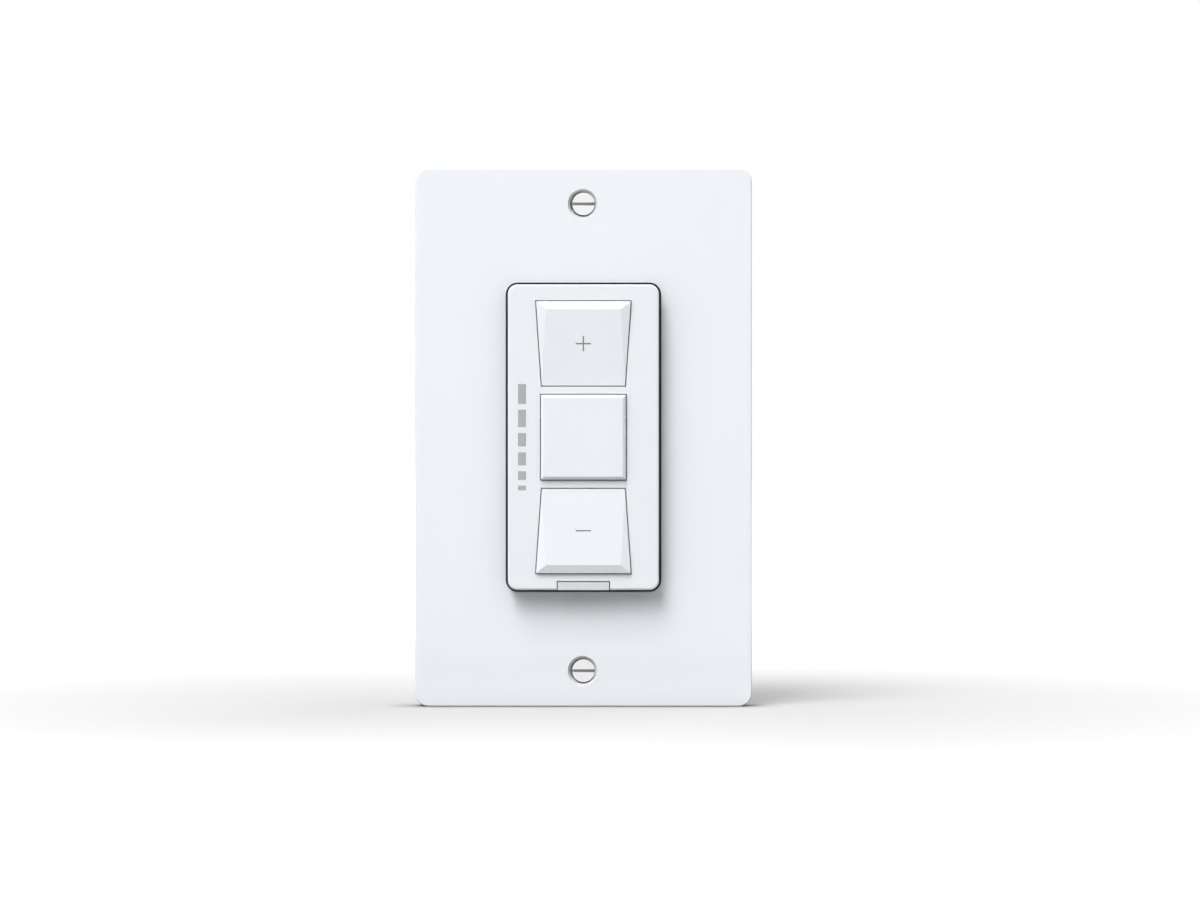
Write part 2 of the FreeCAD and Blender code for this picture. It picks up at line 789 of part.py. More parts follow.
# Yoke: a punched metal strap with a heat-sink tab and a ground tab bent back from it
def make_yoke():
    middle = rounded_slab(housing_width, yoke_middle_height, yoke_corner_radius, yoke_front, 0)
    strap = rounded_slab(yoke_strap_width, yoke_length, yoke_corner_radius, yoke_front, 0)
    heat_tab = block(-heat_tab_width / 2, heat_tab_width / 2, yoke_front, heat_tab_depth,
                     heat_tab_bottom, heat_tab_top)
    ground_x = yoke_strap_width / 2 - yoke_thickness
    ground_tab = block(ground_x, yoke_strap_width / 2, yoke_front, ground_tab_depth,
                       -ground_tab_drop - ground_tab_height / 2,
                       -ground_tab_drop + ground_tab_height / 2)
    window = slab(yoke_window_width, yoke_window_height, yoke_front - overrun, overrun)
    flat = joined([middle, strap]).cut(window)
    body = joined([flat, heat_tab, ground_tab])
    cutters = []
    for end in (-1, 1):
        cutters.append(rod(box_screw_hole_radius, yoke_front - overrun, overrun, 0,
                           end * box_screw_spacing / 2))
        cutters.append(rod(plate_screw_radius + thread_gap, yoke_front - overrun, overrun, 0,
                           end * plate_screw_spacing / 2))
    for x, z in all_corners(post_x, housing_post_height):
        cutters.append(rod(housing_screw_radius + thread_gap, yoke_front - overrun, overrun,
                           x, z))
    notch_end = insert_half_width + hole_clearance
    for side, end in all_corners(1, 1):
        notch_start = yoke_window_width / 2 - overrun
        cutters.append(slab(notch_end - notch_start, insert_hook_width + 2 * hole_clearance,
                            yoke_front - overrun, overrun,
                            side * (notch_start + notch_end) / 2, end * insert_hook_height))
    leg_half = tab_leg_width / 2 + 2 * tab_gap
    cutters.append(block(-leg_half, leg_half, yoke_front - overrun, overrun,
                         leg_bottom - 2 * tab_gap, leg_top + 2 * tab_gap))
    cutters.append(side_rod(ground_screw_radius + thread_gap, 0, yoke_strap_width,
                            ground_tab_depth / 2, -ground_tab_drop))
    cutters.append(upright_rod(clamp_screw_radius + thread_gap, 0, clamp_depth,
                               heat_tab_bottom - overrun, heat_tab_top + overrun))
    return without(body, cutters)


# Ground screw: a hexagon head with a slot, on the ground tab
def make_ground_screw():
    x = yoke_strap_width / 2
    y = ground_tab_depth / 2
    z = -ground_tab_drop
    corners = [point(x, y + ground_screw_head_radius * math.cos(math.radians(60 * i)),
                     z + ground_screw_head_radius * math.sin(math.radians(60 * i)))
               for i in range(6)]
    outline = Part.Face(Part.makePolygon(corners + [corners[0]]))
    head = outline.extrude(point(ground_screw_head_depth, 0, 0))
    shank = side_rod(ground_screw_radius, x - ground_screw_length, x, y, z)
    far = x + ground_screw_head_depth
    slot = block(far - screw_slot_depth, far + overrun, y - ground_screw_head_radius - overrun,
                 y + ground_screw_head_radius + overrun, z - screw_slot_width / 2,
                 z + screw_slot_width / 2)
    return without(joined([head, shank]), [slot])


# Room in the sheet and the control board for the hooks of the front insert
def hook_notches(y0, y1):
    start = insert_half_width - insert_hook_thickness - hole_clearance
    notches = []
    for side, end in all_corners(1, 1):
        notches.append(slab(board_width / 2 - start + overrun,
                            insert_hook_width + 2 * insert_hook_gap, y0, y1,
                            side * (start + board_width / 2 + overrun) / 2,
                            end * insert_hook_height))
    return notches


# Room in the sheet and the boards for the heat-sink tab
def heat_tab_notch(y0, y1):
    half = heat_tab_width / 2 + board_notch_gap
    return block(-half, half, y0, y1, heat_tab_bottom - 2 * board_notch_gap,
                 board_top + overrun)


# Insulating sheet: a thin frame that keeps the control board off the yoke
def make_insulating_sheet():
    half = board_width / 2
    body = block(-half, half, 0, control_front, board_bottom, board_top)
    window = slab(yoke_window_width - 2 * sheet_overlap, yoke_window_height - 2 * sheet_overlap,
                  -overrun, control_front + overrun)
    cutters = hook_notches(-overrun, control_front + overrun)
    cutters.append(heat_tab_notch(-overrun, control_front + overrun))
    return without(body, [window] + cutters)


# Control board: carries the press switches, the level lamps, the radio and the controller
def make_control_board():
    half = board_width / 2
    body = block(-half, half, control_front, control_back, board_bottom, board_top)
    cutters = hook_notches(control_front - overrun, control_back + overrun)
    cutters.append(heat_tab_notch(control_front - overrun, control_back + overrun))
    return without(body, cutters)


# Power board: wider than the control board, with holes for pins, leads and terminal legs
def make_power_board():
    y0 = power_front - overrun
    y1 = power_back + overrun
    half = board_width / 2
    narrow = block(-half, half, power_front, power_back, board_bottom, board_top)
    wide_height = 2 * (housing_post_height - housing_post_radius - board_notch_gap)
    wide = slab(power_board_width, wide_height, power_front, power_back)
    cutters = [heat_tab_notch(y0, y1)]
    for x, z in header_places():
        cutters.append(slab(pin_width + 2 * hole_clearance, pin_width + 2 * hole_clearance,
                            y0, y1, x, z))
    for x in lead_places():
        cutters.append(slab(transistor_lead_width + 2 * hole_clearance,
                            transistor_lead_thickness + 2 * hole_clearance, y0, y1,
                            x, lead_height()))
    leg_x = pocket_floor + terminal_plate_thickness / 2
    for x, z in all_corners(leg_x, terminal_height):
        cutters.append(slab(terminal_plate_thickness + 2 * hole_clearance,
                            terminal_leg_width + 2 * hole_clearance, y0, y1, x, z))
    return without(joined([narrow, wide]), cutters)


def header_places():
    """Where the pins of the board header stand, in two columns."""
    places = []
    for column in (-0.5, 0.5):
        for row in range(header_rows):
            z = header_z + (row - (header_rows - 1) / 2) * header_pitch
            places.append((header_x + column * header_pitch, z))
    return places


def lead_places():
    """Where the three leads of each transistor stand."""
    return [side * transistor_offset + step * header_pitch
            for side in (-1, 1) for step in (-1, 0, 1)]


def lead_height():
    """The height of the transistor leads, in the middle of the moulded bodies."""
    return frame_bottom - transistor_body_height / 2


# Board header: the socket and pins that join the two boards
def make_board_header():
    body = slab(2 * header_pitch, header_rows * header_pitch, control_back, power_front,
                header_x, header_z)
    holes = [slab(pin_width, pin_width, control_back - overrun, power_front + overrun, x, z)
             for x, z in header_places()]
    return without(body, holes)


def make_header_pins():
    return [slab(pin_width, pin_width, control_back, power_back + pin_tail, x, z)
            for x, z in header_places()]


# Board spacers: nylon sleeves between the two boards
def make_board_spacers():
    return [rod(spacer_radius, control_back, power_front, side * spacer_offset, z)
            for side in (-1, 1)
            for z in (board_bottom + spacer_inset, board_top - spacer_inset)]


# Press switch: a square body with a round plunger in its mouth
def make_switch_body(z, travel):
    body = slab(switch_width, switch_width, switch_front, control_front, 0, z)
    mouth = rod(plunger_radius + plunger_running_gap, switch_front - overrun,
                switch_front + plunger_overlap + travel + plunger_running_gap, 0, z)
    return without(body, [mouth])


def make_switch_plunger(z):
    return rod(plunger_radius, plunger_front, switch_front + plunger_overlap, 0, z)


# Radio: a small board with a pressed metal shield over its parts
def make_radio_board():
    return slab(radio_width, radio_height, control_front - radio_thickness, control_front,
                radio_x, radio_z)


def make_radio_shield():
    back = control_front - radio_thickness
    z = radio_z - radio_height / 2 + shield_margin + shield_height / 2
    return slab(radio_width - 2 * shield_margin, shield_height, back - shield_depth, back,
                radio_x, z)


# Power transistors: moulded bodies on metal frames, held to the heat-sink tab by a bar
def make_transistor_body(side):
    return block(side * transistor_offset - transistor_width / 2,
                 side * transistor_offset + transistor_width / 2,
                 transistor_start, transistor_start + transistor_body_length,
                 body_bottom, frame_bottom)


def make_transistor_frame(side):
    x = side * transistor_offset
    plate = block(x - transistor_width / 2, x + transistor_width / 2, transistor_start,
                  transistor_start + transistor_frame_length, frame_bottom,
                  frame_bottom + transistor_frame_thickness)
    hole_y = transistor_start + (transistor_body_length + transistor_frame_length) / 2
    plate = plate.cut(upright_rod(transistor_hole_radius, x, hole_y, frame_bottom - overrun,
                                  heat_tab_bottom))
    leads = [slab(transistor_lead_width, transistor_lead_thickness,
                  power_front - transistor_lead_tail, transistor_start,
                  x + step * header_pitch, lead_height())
             for step in (-1, 0, 1)]
    return [plate] + leads


def make_insulator_pad():
    half = transistor_offset + transistor_width / 2 - pad_margin
    pad = block(-half, half, transistor_start - pad_margin,
                transistor_start + transistor_frame_length + pad_margin,
                heat_tab_bottom - pad_thickness, heat_tab_bottom)
    hole = upright_rod(clamp_screw_radius + hole_clearance, 0, clamp_depth,
                       frame_bottom, heat_tab_top)
    return without(pad, [hole])


def make_clamp_bar():
    half = clamp_bar_length / 2
    bar = block(-clamp_bar_width / 2, clamp_bar_width / 2, clamp_depth - half,
                clamp_depth + half, body_bottom - clamp_bar_thickness, body_bottom)
    hole = upright_rod(clamp_screw_radius + hole_clearance, 0, clamp_depth,
                       body_bottom - 2 * clamp_bar_thickness, body_bottom + overrun)
    return without(bar, [hole])


def make_clamp_screw():
    seat = body_bottom - clamp_bar_thickness
    head = upright_rod(clamp_screw_head_radius, 0, clamp_depth, clamp_screw_end, seat)
    shank = upright_rod(clamp_screw_radius, 0, clamp_depth, seat,
                        heat_tab_top + clamp_screw_tail)
    slot = block(-screw_slot_width / 2, screw_slot_width / 2,
                 clamp_depth - 2 * clamp_screw_head_radius,
                 clamp_depth + 2 * clamp_screw_head_radius,
                 clamp_screw_end - overrun, clamp_screw_end + screw_slot_depth)
    return without(joined([head, shank]), [slot])


# Choke: a ring core under a winding that leaves one side of the ring open
def make_choke_core():
    y0 = power_back + choke_wire_depth
    ring = rod(choke_core_radius, y0, y0 + choke_core_depth, choke_x, choke_z)
    hole = rod(choke_hole_radius, y0 - overrun, y0 + choke_core_depth + overrun,
               choke_x, choke_z)
    return without(ring, [hole])


def make_choke_winding():
    y0 = power_back
    y1 = y0 + choke_core_depth + 2 * choke_wire_depth
    ring = rod(choke_radius, y0, y1, choke_x, choke_z)
    hole = rod(choke_hole_radius - choke_wire_depth, y0 - overrun, y1 + overrun,
               choke_x, choke_z)
    reach = 2 * choke_core_radius
    half = math.radians(choke_open_angle / 2)
    wedge = prism([point(choke_x, y0 - overrun, choke_z),
                   point(choke_x - reach * math.sin(half), y0 - overrun,
                         choke_z - reach * math.cos(half)),
                   point(choke_x + reach * math.sin(half), y0 - overrun,
                         choke_z - reach * math.cos(half))], y1 - y0 + 2 * overrun)
    return without(ring, [hole, make_choke_core(), wedge])


def make_film_capacitor():
    body = slab(film_capacitor_width, film_capacitor_height, power_back,
                power_back + film_capacitor_depth, 0, film_capacitor_z)
    top = [edge for edge in body.Edges
           if edge.BoundBox.YMin > power_back + film_capacitor_depth - tiny]
    return body.makeFillet(film_capacitor_edge, top)


def make_can_capacitor():
    body = rod(can_radius, power_back, power_back + can_length, can_x, can_z)
    y = power_back + can_groove_height
    groove = Part.makeTorus(can_radius + can_groove / 2, can_groove, point(can_x, y, can_z),
                            point(0, 1, 0))
    return without(body, [groove])


# Supply transformer: a core with a middle leg, and the coil round that leg
def make_transformer_core():
    y1 = power_back + transformer_length
    body = slab(transformer_width, transformer_core_height, power_back, y1,
                transformer_x, transformer_z)
    cutters = []
    half = transformer_width / 2 - transformer_yoke_thickness
    for side in (-1, 1):
        middle = (half + transformer_leg_width / 2) / 2
        cutters.append(slab(half - transformer_leg_width / 2, 2 * transformer_core_height,
                            power_back + transformer_yoke_thickness,
                            y1 - transformer_yoke_thickness,
                            transformer_x + side * middle, transformer_z))
    return without(body, cutters)


def make_transformer_coil():
    gap = transformer_coil_gap
    y0 = power_back + transformer_yoke_thickness + gap
    y1 = power_back + transformer_length - transformer_yoke_thickness - gap
    width = transformer_width - 2 * transformer_yoke_thickness - 2 * gap
    body = slab(width, transformer_coil_height, y0, y1, transformer_x, transformer_z)
    leg = slab(transformer_leg_width + 2 * gap, transformer_core_height + 2 * gap,
               y0 - overrun, y1 + overrun, transformer_x, transformer_z)
    return without(body, [leg])


def make_varistor():
    y = power_back + varistor_foot + varistor_radius
    half = varistor_thickness / 2
    disc = side_rod(varistor_radius, varistor_x - half, varistor_x + half, y, varistor_z)
    foot = slab(half, varistor_radius, power_back, y, varistor_x, varistor_z)
    return joined([disc, foot])


# Rear housing: a moulded cup with four terminal pockets in its sides. Its back has a shallow
# field for a label and, below that, a groove that shows how much wire to strip
def make_rear_housing():
    body = rounded_slab(housing_width, housing_height, housing_corner_radius, 0, housing_depth)
    inner_width = 2 * housing_inner_half_width
    inner_height = 2 * housing_inner_half_height
    inner_radius = housing_corner_radius - housing_wall
    hollow = rounded_slab(inner_width, inner_height, inner_radius, -overrun, housing_floor)
    body = body.cut(hollow)
    outer = housing_width / 2 - housing_wall / 2
    extras = []
    for x, z in all_corners(post_x, housing_post_height):
        extras.append(rod(housing_post_radius, 0, housing_floor + tiny, x, z))
    for side, end in all_corners(1, 1):
        z = end * terminal_height
        pocket = slab(outer - pocket_inside, pocket_height + 2 * pocket_wall,
                      pocket_start - pocket_wall, pocket_end + pocket_wall,
                      side * (outer + pocket_inside) / 2, z)
        extras.append(pocket)
    for side in (-1, 1):
        x = side * (power_board_width / 2 - housing_rib_overlap + outer) / 2
        width = outer - power_board_width / 2 + housing_rib_overlap
        for end in (-1, 1):
            extras.append(slab(width, housing_rib_width, power_back, housing_floor + tiny, x,
                               end * side_rib_height))
        top = housing_inner_half_height + housing_wall / 2
        extras.append(block(side * spacer_offset - housing_rib_width / 2,
                            side * spacer_offset + housing_rib_width / 2,
                            power_back, housing_floor + tiny,
                            board_top - housing_rib_overlap, top))
        extras.append(block(side * bottom_rib_offset - housing_rib_width / 2,
                            side * bottom_rib_offset + housing_rib_width / 2,
                            power_back, housing_floor + tiny,
                            -top, board_bottom + housing_rib_overlap))
    envelope = rounded_slab(housing_width, housing_height, housing_corner_radius, 0,
                            housing_depth)
    back = edges_at_depth(envelope, housing_depth, housing_width / 2, housing_height / 2)
    envelope = envelope.makeFillet(housing_back_radius, back)
    body = joined([body] + extras).common(envelope)
    cutters = []
    for side, end in all_corners(1, 1):
        z = end * terminal_height
        x = side * (pocket_floor + pocket_depth / 2 + overrun / 2)
        cutters.append(slab(pocket_depth + overrun, pocket_height, pocket_start, pocket_end,
                            x, z))
        leg_x = side * (pocket_floor + terminal_plate_thickness / 2)
        cutters.append(slab(terminal_plate_thickness, terminal_leg_width,
                            pocket_start - pocket_wall - overrun, pocket_start + overrun,
                            leg_x, z))
        shank = terminal_screw_radius + thread_gap
        middle = (pocket_start + pocket_end) / 2
        x0 = pocket_inside - overrun
        hole = side_rod(shank, x0, pocket_floor + overrun, middle, z)
        cutters.append(hole if side > 0 else flipped(hole))
    for x, z in all_corners(post_x, housing_post_height):
        cutters.append(rod(housing_screw_radius + thread_gap, -overrun,
                           housing_screw_length + yoke_front + overrun, x, z))
    cutters.append(rounded_slab(label_width, label_height, label_corner_radius,
                                housing_depth - label_depth, housing_depth + overrun,
                                0, label_z))
    cutters.append(slab(strip_gauge_length, strip_gauge_width,
                        housing_depth - strip_gauge_depth, housing_depth + overrun,
                        0, strip_gauge_z))
    return without(body, cutters)


def make_housing_screws():
    screws = []
    for x, z in all_corners(post_x, housing_post_height):
        head = rod(housing_screw_head_radius, yoke_front - housing_screw_head_depth,
                   yoke_front, x, z)
        shank = rod(housing_screw_radius, yoke_front, yoke_front + housing_screw_length, x, z)
        top = yoke_front - housing_screw_head_depth
        slot = slab(screw_slot_width, 2 * housing_screw_head_radius + overrun, top - overrun,
                    top + housing_screw_slot_depth, x, z)
        screws.append(without(joined([head, shank]), [slot]))
    return screws


# Terminal: a plate whose leg is soldered in the power board, a clamp plate and a screw
def make_terminal_plate(side, end):
    x0 = pocket_floor
    x1 = pocket_floor + terminal_plate_thickness
    margin = terminal_plate_margin
    z0 = terminal_height - pocket_height / 2 + margin
    z1 = terminal_height + pocket_height / 2 - margin
    plate = block(x0, x1, pocket_start + margin / 2, pocket_end - margin / 2, z0, z1)
    leg = block(x0, x1, power_front - terminal_leg_tail, pocket_start + margin,
                terminal_height - terminal_leg_width / 2,
                terminal_height + terminal_leg_width / 2)
    middle = (pocket_start + pocket_end) / 2
    hole = side_rod(terminal_screw_radius + thread_gap, x0 - overrun, x1 + overrun, middle,
                    terminal_height)
    return placed(without(joined([plate, leg]), [hole]), side, end)


def make_clamp_plate(side, end):
    x0 = pocket_floor + terminal_plate_thickness
    x1 = x0 + terminal_plate_thickness
    middle = (pocket_start + pocket_end) / 2
    half = clamp_plate_width / 2
    plate = block(x0, x1, middle - half, middle + half, terminal_height - half,
                  terminal_height + half)
    hole = side_rod(terminal_screw_radius + thread_gap, x0 - overrun, x1 + overrun, middle,
                    terminal_height)
    return placed(without(plate, [hole]), side, end)


def make_terminal_screw(side, end):
    seat = pocket_floor + 2 * terminal_plate_thickness
    middle = (pocket_start + pocket_end) / 2
    head = side_rod(terminal_screw_head_radius, seat, seat + terminal_screw_head_depth, middle,
                    terminal_height)
    shank = side_rod(terminal_screw_radius, seat - terminal_screw_length, seat, middle,
                     terminal_height)
    far = seat + terminal_screw_head_depth
    slot = block(far - screw_slot_depth, far + overrun,
                 middle - 2 * terminal_screw_head_radius,
                 middle + 2 * terminal_screw_head_radius,
                 terminal_height - screw_slot_width / 2, terminal_height + screw_slot_width / 2)
    return placed(without(joined([head, shank]), [slot]), side, end)


def placed(shape, side, end):
    """A piece made for the upper right terminal, put at another one."""
    shape = shape if side > 0 else flipped(shape)
    return shape if end > 0 else mirrored(shape)


# Air-gap tab: a flush nib at the foot of the insert, on a leg that runs back into the body and
# has a stop that meets the back of the yoke when the tab is fully out
def make_air_gap_tab():
    nib = block(-tab_width / 2, tab_width / 2, insert_front, insert_front + tab_nib_depth,
                tab_bottom, tab_top)
    leg = block(-tab_leg_width / 2, tab_leg_width / 2, insert_front + tab_nib_depth - tiny,
                tab_leg_end, leg_bottom, leg_top)
    stop = block(-tab_stop_width / 2, tab_stop_width / 2, tab_travel,
                 tab_travel + tab_stop_length, leg_bottom, leg_top)
    groove_y = insert_front + tab_nib_depth / 2
    groove = slab(tab_width - 2 * tab_groove_width, 2 * tab_groove_depth, groove_y,
                  groove_y + tab_groove_width, 0, tab_bottom)
    return without(joined([nib, leg, stop]), [groove])


def make_air_gap_blade():
    return block(-blade_width / 2, blade_width / 2, tab_leg_end, blade_back, leg_bottom,
                 leg_bottom + blade_height)


def make_air_gap_contact(side):
    x = side * contact_offset
    top = contact_bottom + contact_thickness
    riser = block(x - contact_width / 2, x + contact_width / 2, power_back,
                  blade_back + contact_thickness, contact_bottom, top)
    foot = block(x - contact_width / 2, x + contact_width / 2, blade_back,
                 blade_back + contact_thickness, leg_bottom + contact_gap, top)
    return joined([riser, foot])


os.makedirs("parts", exist_ok=True)

plus_mark = make_mark([(mark_length, mark_stroke), (mark_stroke, mark_length)])
dash_mark = make_mark([(mark_length, mark_stroke)])

save("wall_plate", make_wall_plate())
save("plate_screws", *[make_plate_screw(end * plate_screw_spacing / 2) for end in (1, -1)])
save("front_insert", make_front_insert())
save("light_guide", make_light_guide())
save("plus_button", make_wedge_button(plus_mark))
save("minus_button", mirrored(make_wedge_button(dash_mark)))
save("plus_mark", plus_mark)
save("minus_mark", mirrored(dash_mark))
save("centre_button", make_centre_button())
save("plus_hinge_pin", make_hinge_pin(hinge_height))
save("minus_hinge_pin", make_hinge_pin(-hinge_height))
save("button_carrier", make_button_carrier())
save("yoke", make_yoke())
save("ground_screw", make_ground_screw())
save("insulating_sheet", make_insulating_sheet())
save("control_board", make_control_board())
for name, z, travel in (("upper", switch_height, wedge_travel), ("centre", 0.0, centre_travel),
                        ("lower", -switch_height, wedge_travel)):
    save(name + "_switch_body", make_switch_body(z, travel))
    save(name + "_switch_plunger", make_switch_plunger(z))
for number, (z, height) in enumerate(level_bars(), 1):
    save(f"level_lamp_{number}", slab(led_width, led_height, control_front - led_depth,
                                      control_front, bar_column, z))
save("radio_board", make_radio_board())
save("radio_shield", make_radio_shield())
save("controller_chip", slab(chip_width, chip_width, control_front - chip_depth, control_front,
                             chip_x, chip_z))
save("board_header", make_board_header())
save("header_pins", *make_header_pins())
save("board_spacers", *make_board_spacers())
save("power_board", make_power_board())
for name, side in (("left", -1), ("right", 1)):
    save(name + "_transistor_body", make_transistor_body(side))
    save(name + "_transistor_frame", *make_transistor_frame(side))
save("insulator_pad", make_insulator_pad())
save("clamp_bar", make_clamp_bar())
save("clamp_screw", make_clamp_screw())
save("choke_core", make_choke_core())
save("choke_winding", make_choke_winding())
save("film_capacitor", make_film_capacitor())
save("can_capacitor", make_can_capacitor())
save("transformer_core", make_transformer_core())
save("transformer_coil", make_transformer_coil())
save("varistor", make_varistor())
save("fuse", rod(fuse_radius, power_back, power_back + fuse_length, fuse_x, 0))
save("rear_housing", make_rear_housing())
save("housing_screws", *make_housing_screws())
corners = all_corners(1, 1)
save("terminal_plates", *[make_terminal_plate(side, end) for side, end in corners])
save("clamp_plates", *[make_clamp_plate(side, end) for side, end in corners])
save("terminal_screws", *[make_terminal_screw(side, end) for side, end in corners[1:]])
save("neutral_screw", make_terminal_screw(*corners[0]))
save("air_gap_tab", make_air_gap_tab())
save("air_gap_blade", make_air_gap_blade())
save("air_gap_contacts", make_air_gap_contact(-1), make_air_gap_contact(1))
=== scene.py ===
import math

import bmesh
import bpy
from mathutils import Matrix, Vector


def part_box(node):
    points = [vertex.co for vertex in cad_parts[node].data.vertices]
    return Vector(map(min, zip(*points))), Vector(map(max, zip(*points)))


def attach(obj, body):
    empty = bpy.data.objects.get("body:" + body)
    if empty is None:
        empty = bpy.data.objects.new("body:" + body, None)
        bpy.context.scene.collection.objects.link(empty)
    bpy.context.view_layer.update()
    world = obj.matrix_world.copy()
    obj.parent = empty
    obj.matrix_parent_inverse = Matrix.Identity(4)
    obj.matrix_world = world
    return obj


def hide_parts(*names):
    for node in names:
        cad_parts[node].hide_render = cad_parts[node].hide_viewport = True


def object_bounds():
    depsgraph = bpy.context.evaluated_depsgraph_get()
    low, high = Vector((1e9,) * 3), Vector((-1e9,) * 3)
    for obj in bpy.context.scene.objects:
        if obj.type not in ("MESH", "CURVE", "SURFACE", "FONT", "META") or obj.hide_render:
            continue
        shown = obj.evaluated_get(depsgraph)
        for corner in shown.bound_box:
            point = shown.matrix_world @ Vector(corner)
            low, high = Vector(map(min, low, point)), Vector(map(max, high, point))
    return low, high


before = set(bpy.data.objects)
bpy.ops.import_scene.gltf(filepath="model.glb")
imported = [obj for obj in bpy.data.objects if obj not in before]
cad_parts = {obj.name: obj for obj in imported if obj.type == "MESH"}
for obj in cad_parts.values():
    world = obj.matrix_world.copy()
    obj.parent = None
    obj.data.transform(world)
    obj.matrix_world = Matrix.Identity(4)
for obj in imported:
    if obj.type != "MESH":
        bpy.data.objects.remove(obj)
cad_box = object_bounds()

# Rear housing. One deep cup moulded in dark grey glass-filled thermoplastic with a spark-eroded
# skin. Four posts in its corners take the screws that close it against the yoke, and its back
# has a field for the rating label.


def wire(tree, kind, feeds, **settings):
    """Adds a shader node, sets it up and feeds its inputs from numbers or from other nodes."""
    node = tree.nodes.new(kind)
    for key, value in settings.items():
        setattr(node, key, value)
    for key, value in feeds.items():
        if isinstance(value, bpy.types.NodeSocket):
            tree.links.new(value, node.inputs[key])
        else:
            node.inputs[key].default_value = value
    return node


def new_effect(name, inputs, outputs):
    """An empty node group with named number inputs and outputs, fed with a place."""
    tree = bpy.data.node_groups.new(name, "ShaderNodeTree")
    tree.interface.new_socket("Place", in_out="INPUT", socket_type="NodeSocketVector")
    for label, value in inputs.items():
        socket = tree.interface.new_socket(label, in_out="INPUT", socket_type="NodeSocketFloat")
        socket.default_value = value
    for label in outputs:
        tree.interface.new_socket(label, in_out="OUTPUT", socket_type="NodeSocketFloat")
    entry = tree.nodes.new("NodeGroupInput")
    return tree, entry, tree.nodes.new("NodeGroupOutput")


def start_material(name, roughness, metallic=0.0, coat=0.0):
    """A new material, its node tree, its shader and the place on the object."""
    material = bpy.data.materials.new(name)
    material.use_nodes = True
    tree = material.node_tree
    shader = tree.nodes["Principled BSDF"]
    shader.inputs["Roughness"].default_value = roughness
    shader.inputs["Metallic"].default_value = metallic
    shader.inputs["Coat Weight"].default_value = coat
    place = tree.nodes.new("ShaderNodeTexCoord").outputs["Object"]
    return material, tree, shader, place


def between(tree, mask, low, high):
    """A colour or a number that runs from low to high as a mask runs from 0 to 1."""
    if isinstance(low, tuple):
        mix = wire(tree, "ShaderNodeMix", {0: mask, 6: (*low, 1), 7: (*high, 1)},
                   data_type="RGBA")
        return mix.outputs[2]
    return wire(tree, "ShaderNodeMapRange", {"Value": mask, "To Min": low,
                                             "To Max": high}).outputs[0]


def relief(tree, shader, height, depth):
    """Bumps the surface by a height between 0 and 1, depth metres high."""
    bump = wire(tree, "ShaderNodeBump", {"Height": height, "Distance": depth, "Strength": 1.0})
    tree.links.new(bump.outputs["Normal"], shader.inputs["Normal"])


# Skin of a moulding: broad flow shades from the gate, and the fine grain of the mould's steel
moulded_skin, entry, exit_ = new_effect("moulded skin", {"Grain Scale": 2500.0},
                                        ["Flow", "Grain"])
flow = wire(moulded_skin, "ShaderNodeTexNoise",
            {"Vector": entry.outputs["Place"], "Scale": 60.0, "Detail": 2.0, "Distortion": 0.8})
grain = wire(moulded_skin, "ShaderNodeTexNoise",
             {"Vector": entry.outputs["Place"], "Scale": entry.outputs["Grain Scale"],
              "Detail": 3.0, "Roughness": 0.6})
moulded_skin.links.new(flow.outputs[0], exit_.inputs["Flow"])
moulded_skin.links.new(grain.outputs[0], exit_.inputs["Grain"])


def moulded(name, deep, pale, smooth, rough, grain_scale, grain_depth, coat=0.0):
    """A moulded plastic between two colours and two roughnesses, with its mould's grain."""
    material, tree, shader, place = start_material(name, rough, coat=coat)
    skin = wire(tree, "ShaderNodeGroup", {}, node_tree=moulded_skin)
    tree.links.new(place, skin.inputs["Place"])
    skin.inputs["Grain Scale"].default_value = grain_scale
    tree.links.new(between(tree, skin.outputs["Flow"], deep, pale), shader.inputs["Base Color"])
    tree.links.new(between(tree, skin.outputs["Grain"], smooth, rough),
                   shader.inputs["Roughness"])
    relief(tree, shader, skin.outputs["Grain"], grain_depth)
    return material


# Points within this distance count as one, and edges sharper than this angle stay sharp
same_place = 0.000001
corner_angle = 32


def dress(material, *names, rounded=True):
    """Gives solids of the frame their finish, and shades their rounded faces smoothly."""
    for name in names:
        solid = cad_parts[name]
        solid.data.materials.clear()
        solid.data.materials.append(material)
        if rounded:
            solid.data.shade_smooth()
            solid.modifiers.new("join facets", "WELD").merge_threshold = same_place
            split = solid.modifiers.new("keep corners", "EDGE_SPLIT")
            split.split_angle = math.radians(corner_angle)
            solid.modifiers.new("flat faces stay flat", "WEIGHTED_NORMAL").keep_sharp = True


housing_grey = moulded("housing_grey", (0.060, 0.062, 0.066), (0.078, 0.080, 0.085), 0.48, 0.66,
                       3200.0, 0.00004)
dress(housing_grey, "rear_housing")


# Rating label. A rectangle of matt silver foil with round corners, stuck in the field on the
# housing's back. It is left blank.
def vector_math(tree, operation, first, second=(0, 0, 0)):
    """The output of a Vector Math node for one or two vectors or sockets."""
    node = wire(tree, "ShaderNodeVectorMath", {0: first, 1: second}, operation=operation)
    return node.outputs["Value" if operation in ("LENGTH", "DISTANCE") else "Vector"]


def rounded_off(mesh, edges, radius, steps):
    """Rounds edges of a bmesh."""
    bmesh.ops.bevel(mesh, geom=edges, offset=radius, offset_type="OFFSET", segments=steps,
                    profile=0.5, affect="EDGES", material=-1)


def turned_back(mesh, angle, verts):
    """Turns vertices of a bmesh round the X axis, from an upright form to one along Y."""
    bmesh.ops.rotate(mesh, matrix=Matrix.Rotation(math.radians(angle), 3, "X"), verts=verts)


def moved(mesh, place):
    """Puts a bmesh at its place in the switch."""
    bmesh.ops.translate(mesh, vec=place, verts=mesh.verts)
    return mesh


